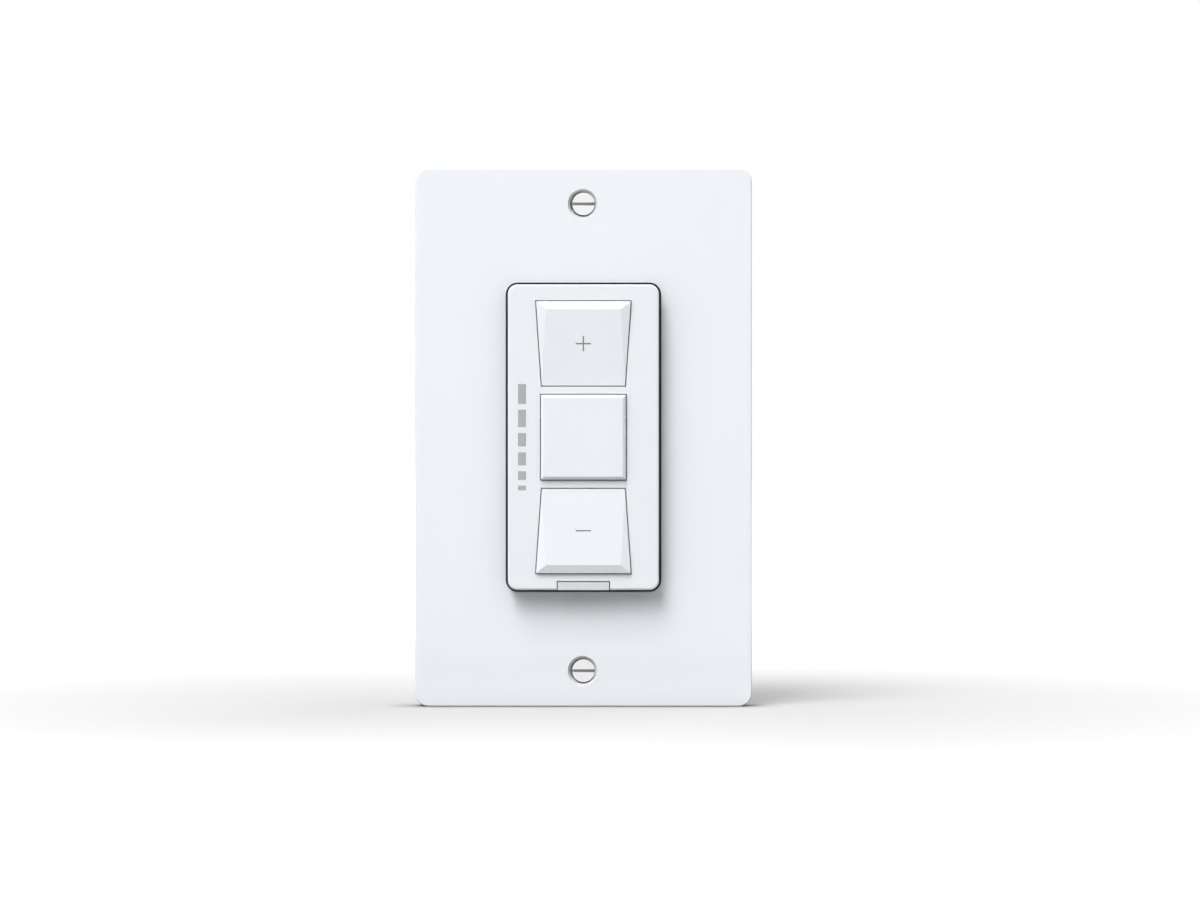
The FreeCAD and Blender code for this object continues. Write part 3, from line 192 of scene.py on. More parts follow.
def add_piece(mesh, name, body, material, corner=35):
    """Turns a finished bmesh into a piece that rides on a body and has a finish."""
    data = bpy.data.meshes.new(name)
    mesh.to_mesh(data)
    mesh.free()
    data.materials.append(material)
    data.shade_smooth()
    data.set_sharp_from_angle(angle=math.radians(corner))
    piece = bpy.data.objects.new(name, data)
    bpy.context.scene.collection.objects.link(piece)
    piece.modifiers.new("flat faces stay flat", "WEIGHTED_NORMAL").keep_sharp = True
    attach(piece, body)
    return piece


label_width = 0.0234
label_height = 0.0254
label_corner = 0.0012
label_thickness = 0.00012
label_edge = 0.00004
label_middle = (0, 0.0327, 0.008)
label_foil, tree, shader, place = start_material("label_foil", 0.42, metallic=0.85)
streaks = wire(tree, "ShaderNodeTexNoise",
               {"Vector": vector_math(tree, "MULTIPLY", place, (1, 1, 0.03)), "Scale": 5200.0,
                "Detail": 3.0})
tree.links.new(between(tree, streaks.outputs[0], (0.52, 0.53, 0.54), (0.66, 0.67, 0.68)),
               shader.inputs["Base Color"])
tree.links.new(between(tree, streaks.outputs[0], 0.36, 0.5), shader.inputs["Roughness"])
relief(tree, shader, streaks.outputs[0], 0.00001)
label = bmesh.new()
bmesh.ops.create_grid(label, x_segments=1, y_segments=1, size=0.5)
bmesh.ops.scale(label, vec=(label_width, label_height, 1), verts=label.verts)
turned_back(label, -90, label.verts)
bmesh.ops.bevel(label, geom=label.verts[:], offset=label_corner, offset_type="OFFSET",
                segments=6, profile=0.5, affect="VERTICES", material=-1)
grown = bmesh.ops.extrude_face_region(label, geom=label.faces[:])
raised = [item for item in grown["geom"] if isinstance(item, bmesh.types.BMVert)]
bmesh.ops.translate(label, vec=(0, label_thickness, 0), verts=raised)
bmesh.ops.recalc_face_normals(label, faces=label.faces)
rim = [edge for edge in label.edges
       if all(abs(vert.co.y - label_thickness) < same_place / 10 for vert in edge.verts)]
rounded_off(label, rim, label_edge, 2)
add_piece(moved(label, label_middle), "rating_label", "chassis", label_foil)


# Terminals. In each side pocket a tinned brass plate is soldered to the power board, and a
# serrated clamp plate is pressed on the wire by a brass screw. The neutral screw is nickel
# plated, so that it can't be mistaken.

# Skin of a metal sheet or bar: lines along the way it was rolled or turned, and dull stains
metal_skin, entry, exit_ = new_effect("metal skin", {"Line Scale": 4000.0}, ["Lines", "Stain"])
lines = wire(metal_skin, "ShaderNodeTexNoise",
             {"Vector": entry.outputs["Place"], "Scale": entry.outputs["Line Scale"],
              "Detail": 4.0, "Roughness": 0.65})
stain = wire(metal_skin, "ShaderNodeTexNoise",
             {"Vector": entry.outputs["Place"], "Scale": 300.0, "Detail": 5.0,
              "Roughness": 0.6, "Distortion": 0.4})
stain_edge = wire(metal_skin, "ShaderNodeMapRange",
                  {"Value": stain.outputs[0], "From Min": 0.42, "From Max": 0.72})
metal_skin.links.new(lines.outputs[0], exit_.inputs["Lines"])
metal_skin.links.new(stain_edge.outputs[0], exit_.inputs["Stain"])


def metal(name, bright, stained, smooth, rough, grain=(1, 1, 1), line_scale=4000.0,
          line_depth=0.000006):
    """A metal with lines along its grain and dull stains of a second colour."""
    material, tree, shader, place = start_material(name, rough, metallic=1.0)
    skin = wire(tree, "ShaderNodeGroup", {}, node_tree=metal_skin)
    tree.links.new(vector_math(tree, "MULTIPLY", place, grain), skin.inputs["Place"])
    skin.inputs["Line Scale"].default_value = line_scale
    tree.links.new(between(tree, skin.outputs["Stain"], bright, stained),
                   shader.inputs["Base Color"])
    tree.links.new(between(tree, skin.outputs["Lines"], smooth, rough),
                   shader.inputs["Roughness"])
    relief(tree, shader, skin.outputs["Lines"], line_depth)
    return material


tinned_brass = metal("tinned_brass", (0.66, 0.66, 0.62), (0.55, 0.50, 0.40), 0.26, 0.42,
                     grain=(1, 0.1, 1))
brass_screw = metal("brass_screw", (0.80, 0.60, 0.27), (0.58, 0.41, 0.18), 0.22, 0.38,
                    grain=(0.15, 1, 1))
nickel_screw = metal("nickel_screw", (0.72, 0.71, 0.69), (0.58, 0.57, 0.54), 0.18, 0.32,
                     grain=(0.15, 1, 1))
dress(tinned_brass, "terminal_plates", "clamp_plates")
dress(brass_screw, "terminal_screws")
dress(nickel_screw, "neutral_screw")

# Power board. Glass-fibre laminate under blue solder mask, with wide tinned tracks for the mains
# current. It lies on the ribs of the housing and carries all the heavy parts on its wall side.
def combined(tree, operation, first, second=0.0):
    """The output of a Math node for two numbers or sockets."""
    return wire(tree, "ShaderNodeMath", {0: first, 1: second}, operation=operation).outputs[0]


# Tracks of a circuit board under its mask: straight runs with round pads, seen as raised lines
board_tracks, entry, exit_ = new_effect("board tracks", {"Pitch": 0.0025}, ["Track", "Weave"])
scaled = wire(board_tracks, "ShaderNodeVectorMath", {0: entry.outputs["Place"]},
              operation="SCALE")
per_pitch = combined(board_tracks, "DIVIDE", 1.0, entry.outputs["Pitch"])
board_tracks.links.new(per_pitch, scaled.inputs["Scale"])
flat_parts = wire(board_tracks, "ShaderNodeSeparateXYZ", {0: scaled.outputs[0]})
flat = wire(board_tracks, "ShaderNodeCombineXYZ", {0: flat_parts.outputs[0],
                                                   1: flat_parts.outputs[2]})
runs = wire(board_tracks, "ShaderNodeTexBrick",
            {"Vector": flat.outputs[0], "Color1": (0, 0, 0, 1), "Color2": (0, 0, 0, 1),
             "Mortar": (1, 1, 1, 1), "Scale": 1.0, "Mortar Size": 0.13, "Mortar Smooth": 0.2,
             "Brick Width": 3.7, "Row Height": 1.0}, offset=0.37, squash=0.6, squash_frequency=3)
pads = wire(board_tracks, "ShaderNodeTexVoronoi",
            {"Vector": flat.outputs[0], "Scale": 0.55, "Randomness": 0.85})
pad_spot = wire(board_tracks, "ShaderNodeMapRange",
                {"Value": pads.outputs["Distance"], "From Min": 0.26, "From Max": 0.2})
weave = wire(board_tracks, "ShaderNodeTexWave",
             {"Vector": flat.outputs[0], "Scale": 5.0, "Distortion": 0.6, "Detail": 1.0},
             bands_direction="DIAGONAL")
either = combined(board_tracks, "MAXIMUM", runs.outputs[0], pad_spot.outputs[0])
board_tracks.links.new(either, exit_.inputs["Track"])
board_tracks.links.new(weave.outputs["Fac"], exit_.inputs["Weave"])


def laminate(name, mask_colour, track_colour, pitch):
    """A circuit board: mask colour between the tracks and a lighter one over them."""
    material, tree, shader, place = start_material(name, 0.35, coat=0.4)
    effect = wire(tree, "ShaderNodeGroup", {"Place": place, "Pitch": pitch},
                  node_tree=board_tracks)
    tree.links.new(between(tree, effect.outputs["Track"], mask_colour, track_colour),
                   shader.inputs["Base Color"])
    tree.links.new(between(tree, effect.outputs["Weave"], 0.32, 0.42),
                   shader.inputs["Roughness"])
    lift = combined(tree, "MULTIPLY", effect.outputs["Weave"], 0.15)
    relief(tree, shader, combined(tree, "ADD", effect.outputs["Track"], lift), 0.00004)
    return material


board_blue = laminate("board_blue", (0.010, 0.045, 0.16), (0.03, 0.11, 0.30), 0.0042)
dress(board_blue, "power_board")

# Solder joints of the power board. Small bright cones round every lead that comes through to
# the room side, made in the solder wave.
solder = metal("solder", (0.74, 0.74, 0.73), (0.60, 0.60, 0.60), 0.22, 0.36, line_scale=1500.0)
joint_foot_radius = 0.00085
joint_tip_radius = 0.0003
joint_height = 0.0007
joint_middle_depth = 0.00716
joint_places_mm = [(-8.5, 19.8), (-6.5, 19.8), (-4.5, 19.8), (4.5, 19.8), (6.5, 19.8), (8.5, 19.8),
                   (-7.0, -24.0), (7.0, -24.0), (13.0, -7.0), (13.0, -13.0), (13.0, 0.0),
                   (16.0, 0.0), (-10.0, -9.75), (-12.0, -9.75), (1.0, -13.6), (1.0, -9.9),
                   (8.2, -13.6), (8.2, -9.9), (-7.35, -0.75), (2.35, -0.75)]
joints = bmesh.new()
for x, z in joint_places_mm:
    cone = bmesh.ops.create_cone(joints, cap_ends=True, segments=14, radius1=joint_foot_radius,
                                 radius2=joint_tip_radius, depth=joint_height)["verts"]
    turned_back(joints, 90, cone)
    bmesh.ops.translate(joints, vec=(x / 1000, joint_middle_depth, z / 1000), verts=cone)
add_piece(joints, "solder_joints", "chassis", solder)

# Board header and spacers. A black socket with two rows of square tinned pins carries the low
# voltage to the control board, and four nylon sleeves hold the boards apart.
moulding_black = moulded("moulding_black", (0.018, 0.018, 0.019), (0.03, 0.03, 0.031), 0.3, 0.45,
                         3000.0, 0.00002)
tinned_steel = metal("tinned_steel", (0.70, 0.70, 0.69), (0.56, 0.56, 0.55), 0.2, 0.34,
                     grain=(1, 0.12, 1))
nylon = moulded("nylon", (0.70, 0.69, 0.62), (0.80, 0.79, 0.73), 0.36, 0.5, 1800.0, 0.00002,
                coat=0.1)
dress(moulding_black, "board_header")
dress(tinned_steel, "header_pins")
dress(nylon, "board_spacers")

# Power transistors. Two moulded bodies on tinned frames lie against the yoke's heat tab, with
# a grey silicone pad between, and one spring bar and screw press both of them home.
transistor_black = moulded("transistor_black", (0.014, 0.014, 0.015), (0.024, 0.024, 0.025),
                           0.42, 0.6, 5200.0, 0.00003)
steel = metal("steel", (0.56, 0.56, 0.57), (0.42, 0.41, 0.40), 0.24, 0.42, grain=(0.1, 1, 1))
silicone_pad = moulded("silicone_pad", (0.34, 0.36, 0.38), (0.42, 0.44, 0.46), 0.62, 0.78, 900.0,
                       0.00003)
dress(transistor_black, "left_transistor_body", "right_transistor_body")
dress(tinned_steel, "left_transistor_frame", "right_transistor_frame")
dress(silicone_pad, "insulator_pad")
dress(steel, "clamp_bar", "clamp_screw")

# Choke. Two layers' worth of enamelled copper wire wound by hand on a powdered-iron ring, with
# one side of the ring left open between the start and the end of the winding.
ferrite = moulded("ferrite", (0.050, 0.048, 0.047), (0.085, 0.082, 0.080), 0.55, 0.8, 1400.0,
                  0.00006)
dress(ferrite, "choke_core", "transformer_core")
copper_wire, tree, shader, place = start_material("copper_wire", 0.3, metallic=0.9, coat=0.6)
shader.inputs["Coat Roughness"].default_value = 0.12
varnish = wire(tree, "ShaderNodeTexNoise", {"Vector": place, "Scale": 500.0, "Detail": 4.0})
tree.links.new(between(tree, varnish.outputs[0], (0.40, 0.13, 0.045), (0.62, 0.24, 0.09)),
               shader.inputs["Base Color"])
tree.links.new(between(tree, varnish.outputs[0], 0.22, 0.4), shader.inputs["Roughness"])
relief(tree, shader, varnish.outputs[0], 0.00001)
wire_radius = 0.0005
core_low, core_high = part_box("choke_core")
choke_centre = (core_low + core_high) / 2
section_middle = 0.0075
straight_half_width = 0.0013
straight_half_depth = 0.0028
bend_radius = 0.0007 + wire_radius
bend_steps = 16
turn_count = 26
open_half_angle = 29
first_turn = math.radians(90 + open_half_angle)
turn_step = math.radians(360 - 2 * open_half_angle) / (turn_count - 1)
lead_length = 0.0046
lead_half_spacing = 0.00485
lead_middle_depth = 0.0114
lead_drop = 0.00875
half_step = Matrix.Rotation(math.pi / bend_steps, 3, "Z")
winding = bmesh.new()
for turn in range(turn_count):
    section = bmesh.ops.create_circle(winding, segments=8, radius=wire_radius)["verts"]
    turned_back(winding, 90, section)
    bmesh.ops.translate(winding, vec=(bend_radius, 0, 0), verts=section)
    bmesh.ops.rotate(winding, matrix=half_step, verts=section)
    edges = list({edge for vert in section for edge in vert.link_edges})
    old_verts = set(winding.verts) - set(section)
    bmesh.ops.spin(winding, geom=section + edges, axis=(0, 0, 1), cent=(0, 0, 0),
                   angle=2 * math.pi, steps=bend_steps, use_merge=True)
    loop = [vert for vert in winding.verts if vert not in old_verts]
    for vert in loop:
        vert.co.x += math.copysign(straight_half_width, vert.co.x)
        vert.co.y += math.copysign(straight_half_depth, vert.co.y)
    around = Matrix.Rotation(first_turn + turn * turn_step, 4, "Y")
    outwards = Matrix.Translation((section_middle, 0, 0))
    bmesh.ops.transform(winding, matrix=Matrix.Translation(choke_centre) @ around @ outwards,
                        verts=loop)
for end in (-1, 1):
    lead = bmesh.ops.create_cone(winding, cap_ends=True, segments=10, radius1=wire_radius,
                                 radius2=wire_radius, depth=lead_length)["verts"]
    turned_back(winding, 90, lead)
    bmesh.ops.translate(winding, vec=(choke_centre.x + end * lead_half_spacing,
                                      lead_middle_depth, choke_centre.z - lead_drop),
                        verts=lead)
bmesh.ops.recalc_face_normals(winding, faces=winding.faces)
wound = add_piece(winding, "wound_wire", "chassis", copper_wire, corner=60)
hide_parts("choke_winding")

# Film capacitor, can capacitor, varistor and fuse. A dipped box of yellow epoxy, an aluminium
# can in a printed sleeve with a crimp round its foot, a blue ceramic disc and a thermal fuse
# in brown phenolic, all soldered upright on the power board.
capacitor_yellow = moulded("capacitor_yellow", (0.62, 0.34, 0.028), (0.72, 0.42, 0.045), 0.24,
                           0.36, 700.0, 0.00004, coat=0.3)
varistor_blue = moulded("varistor_blue", (0.018, 0.07, 0.27), (0.03, 0.10, 0.36), 0.26, 0.42,
                        800.0, 0.00006, coat=0.3)
fuse_brown = moulded("fuse_brown", (0.10, 0.042, 0.02), (0.15, 0.062, 0.03), 0.32, 0.46, 1500.0,
                     0.00003)
can_sleeve, tree, shader, place = start_material("can_sleeve", 0.3, coat=0.3)
sleeve_skin = wire(tree, "ShaderNodeGroup", {"Place": place, "Grain Scale": 900.0},
                   node_tree=moulded_skin)
can_low, can_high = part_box("can_capacitor")
stripe_width = 0.0016
bare_end_depth = 0.0002
can_parts = wire(tree, "ShaderNodeSeparateXYZ", {0: place}).outputs
stripe = combined(tree, "LESS_THAN", can_parts[0], can_low.x + stripe_width)
bare_end = combined(tree, "GREATER_THAN", can_parts[1], can_high.y - bare_end_depth)
sleeve = between(tree, sleeve_skin.outputs["Flow"], (0.016, 0.017, 0.022), (0.03, 0.032, 0.04))
striped = between(tree, stripe, (0.0, 0.0, 0.0), (0.55, 0.55, 0.56))
printed = wire(tree, "ShaderNodeMix", {0: 1.0, 6: sleeve, 7: striped}, data_type="RGBA",
               blend_type="ADD").outputs[2]
capped = wire(tree, "ShaderNodeMix", {0: bare_end, 6: printed, 7: (0.60, 0.61, 0.62, 1)},
              data_type="RGBA").outputs[2]
tree.links.new(capped, shader.inputs["Base Color"])
tree.links.new(combined(tree, "MULTIPLY", bare_end, 0.9), shader.inputs["Metallic"])
relief(tree, shader, sleeve_skin.outputs["Grain"], 0.00002)
dress(capacitor_yellow, "film_capacitor")
dress(can_sleeve, "can_capacitor")
dress(varistor_blue, "varistor")
dress(fuse_brown, "fuse")

# Supply transformer. A ferrite frame with a small coil under many thin layers of yellow
# polyester tape. It stands on the power board.
coil_tape, tree, shader, place = start_material("coil_tape", 0.3, coat=0.5)
layers = wire(tree, "ShaderNodeTexWave", {"Vector": place, "Scale": 260.0, "Distortion": 1.2,
                                          "Detail": 2.0, "Detail Scale": 3.0},
              bands_direction="Z")
creases = wire(tree, "ShaderNodeTexNoise", {"Vector": place, "Scale": 900.0, "Detail": 3.0})
tree.links.new(between(tree, layers.outputs["Fac"], (0.60, 0.40, 0.06), (0.74, 0.53, 0.12)),
               shader.inputs["Base Color"])
tree.links.new(between(tree, creases.outputs[0], 0.22, 0.42), shader.inputs["Roughness"])
relief(tree, shader, combined(tree, "ADD", layers.outputs["Fac"], creases.outputs[0]), 0.00005)
dress(coil_tape, "transformer_coil")

# Control board. Green laminate with fine tracks that carries the low-voltage side: controller,
# radio, press switches and level lamps on the room side, small chip parts on the wall side.
board_green = laminate("board_green", (0.012, 0.10, 0.035), (0.04, 0.21, 0.085), 0.0016)
dress(board_green, "control_board")


def add_box(mesh, size, middle):
    """Adds a plain box to a bmesh and returns its vertices."""
    verts = bmesh.ops.create_cube(mesh, size=1.0)["verts"]
    bmesh.ops.scale(mesh, vec=size, verts=verts)
    bmesh.ops.translate(mesh, vec=middle, verts=verts)
    return verts


chip_body_size = (0.0010, 0.00055, 0.00085)
chip_end_size = (0.0003, 0.0006, 0.0009)
chip_end_place = 0.00065
chip_end_edge = 0.00006
chip_middle_depth = 0.00238
chip_rows_mm = (-22, -18.5, -15, 14, 17.5, 21, 24.5)
chip_columns_mm = (-7.5, -4.5, -1.5, 1.5, 4.5, 7.5)
chip_bodies = bmesh.new()
chip_ends = bmesh.new()
for z in chip_rows_mm:
    for x in chip_columns_mm:
        middle = Vector((x / 1000, chip_middle_depth, z / 1000))
        add_box(chip_bodies, chip_body_size, middle)
        for end in (-1, 1):
            add_box(chip_ends, chip_end_size, middle + Vector((end * chip_end_place, 0, 0)))
rounded_off(chip_ends, chip_ends.edges[:], chip_end_edge, 1)
add_piece(chip_bodies, "chip_resistors", "chassis", moulding_black)
add_piece(chip_ends, "chip_resistor_ends", "chassis", solder)

# Controller chip. A square black package with eight tinned legs a side. A small round dimple
# marks its first corner.
chip_low, chip_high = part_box("controller_chip")
chip_middle = (chip_low + chip_high) / 2
dimple_inset = 0.0009
dimple_radius = 0.0004
legs_a_side = 8
leg_size = (0.0008, 0.00015, 0.0003)
leg_spacing = 0.0008
leg_reach = 0.0038
leg_depth = 0.00036
chip_black, tree, shader, place = start_material("chip_black", 0.5)
chip_skin = wire(tree, "ShaderNodeGroup", {"Place": place, "Grain Scale": 4200.0},
                 node_tree=moulded_skin)
from_dimple = vector_math(tree, "DISTANCE", vector_math(tree, "MULTIPLY", place, (1, 0, 1)),
                          (chip_low.x + dimple_inset, 0, chip_high.z - dimple_inset))
dimple = combined(tree, "LESS_THAN", from_dimple, dimple_radius)
tree.links.new(between(tree, chip_skin.outputs["Flow"], (0.015, 0.015, 0.016),
                       (0.026, 0.026, 0.027)), shader.inputs["Base Color"])
tree.links.new(between(tree, dimple, 0.52, 0.24), shader.inputs["Roughness"])
sunk = combined(tree, "SUBTRACT", combined(tree, "MULTIPLY", chip_skin.outputs["Grain"], 0.4),
                dimple)
relief(tree, shader, sunk, 0.00004)
dress(chip_black, "controller_chip", rounded=False)
legs = bmesh.new()
for side in range(4):
    turned = Matrix.Rotation(math.radians(90) * side, 4, "Y")
    for leg in range(legs_a_side):
        along = (leg - (legs_a_side - 1) / 2) * leg_spacing
        verts = add_box(legs, leg_size, (leg_reach, leg_depth, along))
        bmesh.ops.transform(legs, matrix=Matrix.Translation(chip_middle) @ turned, verts=verts)
add_piece(legs, "controller_legs", "chassis", solder)

# Press switches. Black square bodies with a round plunger under each button. A stamped steel
# cover with four rivet heads holds the dome inside.
plunger_black = moulded("plunger_black", (0.024, 0.024, 0.025), (0.04, 0.04, 0.041), 0.34, 0.46,
                        2600.0, 0.00002)
dress(moulding_black, "upper_switch_body", "centre_switch_body", "lower_switch_body")
dress(plunger_black, "upper_switch_plunger", "centre_switch_plunger", "lower_switch_plunger")
rivet_radius = 0.00042
rivet_flatness = 0.45
rivet_offset = 0.0023
for name in ("upper", "centre", "lower"):
    low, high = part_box(f"{name}_switch_body")
    middle = (low + high) / 2
    rivets = bmesh.new()
    for x in (-rivet_offset, rivet_offset):
        for z in (-rivet_offset, rivet_offset):
            head = bmesh.ops.create_uvsphere(rivets, u_segments=14, v_segments=8,
                                             radius=rivet_radius)["verts"]
            bmesh.ops.scale(rivets, vec=(1, rivet_flatness, 1), verts=head)
            bmesh.ops.translate(rivets, vec=(middle.x + x, low.y, middle.z + z), verts=head)
    add_piece(rivets, f"{name}_switch_rivets", "chassis", plunger_black)

# Level lamps. Six tiny clear mouldings, each with a pale chip inside. They are soldered to the
# control board, one behind each leg of the light guide.
lamp_lens, tree, shader, place = start_material("lamp_lens", 0.18, coat=0.5)
lens_skin = wire(tree, "ShaderNodeGroup", {"Place": place, "Grain Scale": 1200.0},
                 node_tree=moulded_skin)
tree.links.new(between(tree, lens_skin.outputs["Flow"], (0.74, 0.72, 0.55),
                       (0.86, 0.84, 0.70)), shader.inputs["Base Color"])
relief(tree, shader, lens_skin.outputs["Grain"], 0.00001)
dress(lamp_lens, *[f"level_lamp_{number}" for number in range(1, 7)], rounded=False)

# Radio. A small board soldered to the control board, with a drawn tin cover over its parts and
# the printed zigzag of its aerial beside the cover.
dress(board_green, "radio_board", rounded=False)
shield_low, shield_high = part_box("radio_shield")
shield_size = shield_high - shield_low
shield_corner = 0.0006
shield_fold = 0.0003
panel_inset = 0.0007
panel_depth = 0.00012
shield = bmesh.new()
add_box(shield, shield_size, (0, 0, 0))
upright = [edge for edge in shield.edges
           if abs(edge.verts[0].co.y - edge.verts[1].co.y) > shield_size.y / 2]
rounded_off(shield, upright, shield_corner, 4)
brim = [edge for edge in shield.edges
        if all(vert.co.y < -shield_size.y / 2 + same_place / 10 for vert in edge.verts)]
rounded_off(shield, brim, shield_fold, 3)
panel = [face for face in shield.faces if face.normal.y < -0.99]
bmesh.ops.inset_region(shield, faces=panel, thickness=panel_inset, depth=-panel_depth)
tin = metal("tin_cover", (0.68, 0.68, 0.66), (0.52, 0.52, 0.50), 0.2, 0.34, grain=(0.12, 1, 1),
            line_scale=2600.0)
radio_cover = add_piece(moved(shield, (shield_low + shield_high) / 2), "radio_cover", "chassis",
                        tin)
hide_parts("radio_shield")
radio_low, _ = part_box("radio_board")
track_width = 0.00025
track_height = 0.00005
bar_count = 7
bar_length = 0.0024
bar_step = 0.0010
bar_start = 0.0012
bar_middle = 0.0155
bend_offset = 0.00108
aerial = bmesh.new()
for number in range(bar_count):
    x = radio_low.x + bar_start + number * bar_step
    add_box(aerial, (track_width, track_height, bar_length), (x, radio_low.y, bar_middle))
    if number < bar_count - 1:
        bend = bar_middle + (bend_offset if number % 2 else -bend_offset)
        add_box(aerial, (bar_step, track_height, track_width),
                (x + bar_step / 2, radio_low.y, bend))
gold_track = metal("gold_track", (0.83, 0.62, 0.27), (0.70, 0.50, 0.20), 0.2, 0.34)
add_piece(aerial, "radio_aerial", "chassis", gold_track)

# Insulating sheet. Grey-white fish paper, punched in one stroke. It is held between the control
# board and the yoke.
fibre_sheet, tree, shader, place = start_material("fibre_sheet", 0.75)
fibres = wire(tree, "ShaderNodeTexNoise",
              {"Vector": vector_math(tree, "MULTIPLY", place, (1, 1, 0.25)), "Scale": 2600.0,
               "Detail": 5.0, "Roughness": 0.7})
clouds = wire(tree, "ShaderNodeTexNoise", {"Vector": place, "Scale": 220.0, "Detail": 3.0})
mottled = combined(tree, "ADD", combined(tree, "MULTIPLY", fibres.outputs[0], 0.6),
                   combined(tree, "MULTIPLY", clouds.outputs[0], 0.4))
tree.links.new(between(tree, mottled, (0.36, 0.37, 0.36), (0.56, 0.57, 0.55)),
               shader.inputs["Base Color"])
relief(tree, shader, fibres.outputs[0], 0.00004)
dress(fibre_sheet, "insulating_sheet")

# Yoke. One stamped and bent strap of bright aluminium sheet that carries everything and takes
# the heat. Its corners are rounded, its surface shows the lines of the rolling mill.
yoke_aluminium = metal("yoke_aluminium", (0.70, 0.705, 0.71), (0.60, 0.605, 0.61), 0.28, 0.46,
                       grain=(1, 1, 0.03), line_scale=3600.0, line_depth=0.000012)
dress(yoke_aluminium, "yoke")

# Ground screw and housing screws. A hexagon head in green lacquer for the ground wire, and four
# zinc-plated screws that hold the yoke and the housing together.
ground_green = metal("ground_green", (0.03, 0.26, 0.09), (0.05, 0.17, 0.07), 0.26, 0.42,
                     grain=(0.2, 1, 1))
dress(ground_green, "ground_screw")
dress(steel, "housing_screws")

# Button carrier and hinge pins. A white moulded tray clipped under the insert, and two ground
# steel pins on which the plus and the minus button rock.
carrier_white = moulded("carrier_white", (0.74, 0.75, 0.77), (0.80, 0.81, 0.83), 0.38, 0.5,
                        2400.0, 0.00002)
dress(carrier_white, "button_carrier")
dress(steel, "plus_hinge_pin", "minus_hinge_pin")

# Plus, minus and centre buttons. Glossy white caps moulded to the same shade as the face, with
# crisp chamfers, and a fine grey mark filled into the plus and the minus button.
def tinted(material, mask, tone):
    """Gives a material another colour where a mask is 1."""
    tree = material.node_tree
    socket = tree.nodes["Principled BSDF"].inputs["Base Color"]
    mix = wire(tree, "ShaderNodeMix", {0: mask, 6: socket.links[0].from_socket, 7: (*tone, 1)},
               data_type="RGBA")
    tree.links.new(mix.outputs[2], socket)


def object_place(material):
    """A material's node tree, the place on the object, and that place's three parts."""
    tree = material.node_tree
    place = tree.nodes.new("ShaderNodeTexCoord").outputs["Object"]
    return tree, place, wire(tree, "ShaderNodeSeparateXYZ", {0: place}).outputs


def painted_gap_shade(material, tone, start, half_width=1.0, half_height=1.0):
    """Paints shade on the walls of a gap: a darker tone on all that lies deeper than start, within
    a middle rectangle.
    """
    tree, place, parts = object_place(material)
    deep = combined(tree, "GREATER_THAN", parts[1], start)
    sizes = wire(tree, "ShaderNodeSeparateXYZ",
                 {0: vector_math(tree, "ABSOLUTE", place)}).outputs
    inside = combined(tree, "MULTIPLY", combined(tree, "LESS_THAN", sizes[0], half_width),
                      combined(tree, "LESS_THAN", sizes[2], half_height))
    tinted(material, combined(tree, "MULTIPLY", deep, inside), (tone, tone, tone))


# Painted shade: the caps' walls below the face's level are dark grey, as shade in the gaps round
# them.
button_gap_shade_tone = 0.16
button_gap_start = -0.0091
button_white = moulded("button_white", (0.866, 0.893, 0.927), (0.878, 0.905, 0.939), 0.30, 0.36,
                       1600.0, 0.000003)
painted_gap_shade(button_white, button_gap_shade_tone, button_gap_start)
mark_grey = moulded("mark_grey", (0.15, 0.155, 0.16), (0.19, 0.195, 0.20), 0.5, 0.62, 3000.0,
                    0.00001)
dress(button_white, "plus_button", "minus_button", "centre_button")
dress(mark_grey, "plus_mark", "minus_mark", rounded=False)

# Light guide. One milky grey moulding whose six bars fill the slots of the face, longest on
# top, and light up to show the level.
bar_grey = moulded("bar_grey", (0.42, 0.425, 0.43), (0.46, 0.465, 0.47), 0.24, 0.34, 1500.0,
                   0.000004, coat=0.2)
dress(bar_grey, "light_guide", rounded=False)

# Front insert. The raised white face with the openings of the buttons, a rounded rim and four
# hooks that snap behind the yoke. It is moulded in one piece in the buttons' white.
floor_fade_low = -0.052
floor_fade_high = -0.040
room_side_end = -0.005
corner_shade_share = 0.6
insert_corner_shade_reach = 0.006
rim_gap_shade_tone = 0.04
insert_side_start = -0.0056
button_field_half_width = 0.0150
button_field_half_height = 0.0314


def painted_corner_shade(material, reach, share):
    """Paints shade into a finish's room side: darker where an ambient occlusion node finds
    surfaces close over it, fading out near the floor.
    """
    tree, _, parts = object_place(material)
    open_sky = wire(tree, "ShaderNodeAmbientOcclusion", {"Distance": reach}, samples=6)
    hidden = combined(tree, "SUBTRACT", 1.0, open_sky.outputs["AO"])
    rising = wire(tree, "ShaderNodeMapRange",
                  {"Value": parts[2], "From Min": floor_fade_low, "From Max": floor_fade_high,
                   "To Max": share}, interpolation_type="SMOOTHSTEP").outputs[0]
    shown = combined(tree, "MULTIPLY", rising,
                     combined(tree, "LESS_THAN", parts[1], room_side_end))
    tinted(material, combined(tree, "MULTIPLY", hidden, shown), (0, 0, 0))


insert_white = moulded("insert_white", (0.862, 0.889, 0.923), (0.874, 0.901, 0.935), 0.30, 0.36,
                       1500.0, 0.000003)
# Painted shade: darker where parts stand close over the face, on the walls of the button openings,
# and nearly black on the sides behind the plate's face.
painted_corner_shade(insert_white, insert_corner_shade_reach, corner_shade_share)
painted_gap_shade(insert_white, button_gap_shade_tone, button_gap_start, button_field_half_width,
         button_field_half_height)
painted_gap_shade(insert_white, rim_gap_shade_tone, insert_side_start)
dress(insert_white, "front_insert")

# Air-gap tab, its blade and contacts. A white pull tab flush in the foot of the face. Its leg
# carries a copper bridge that leaves two sprung contacts when the tab is out.
contact_copper = metal("contact_copper", (0.78, 0.42, 0.26), (0.55, 0.27, 0.16), 0.24, 0.4,
                       grain=(0.12, 1, 1))
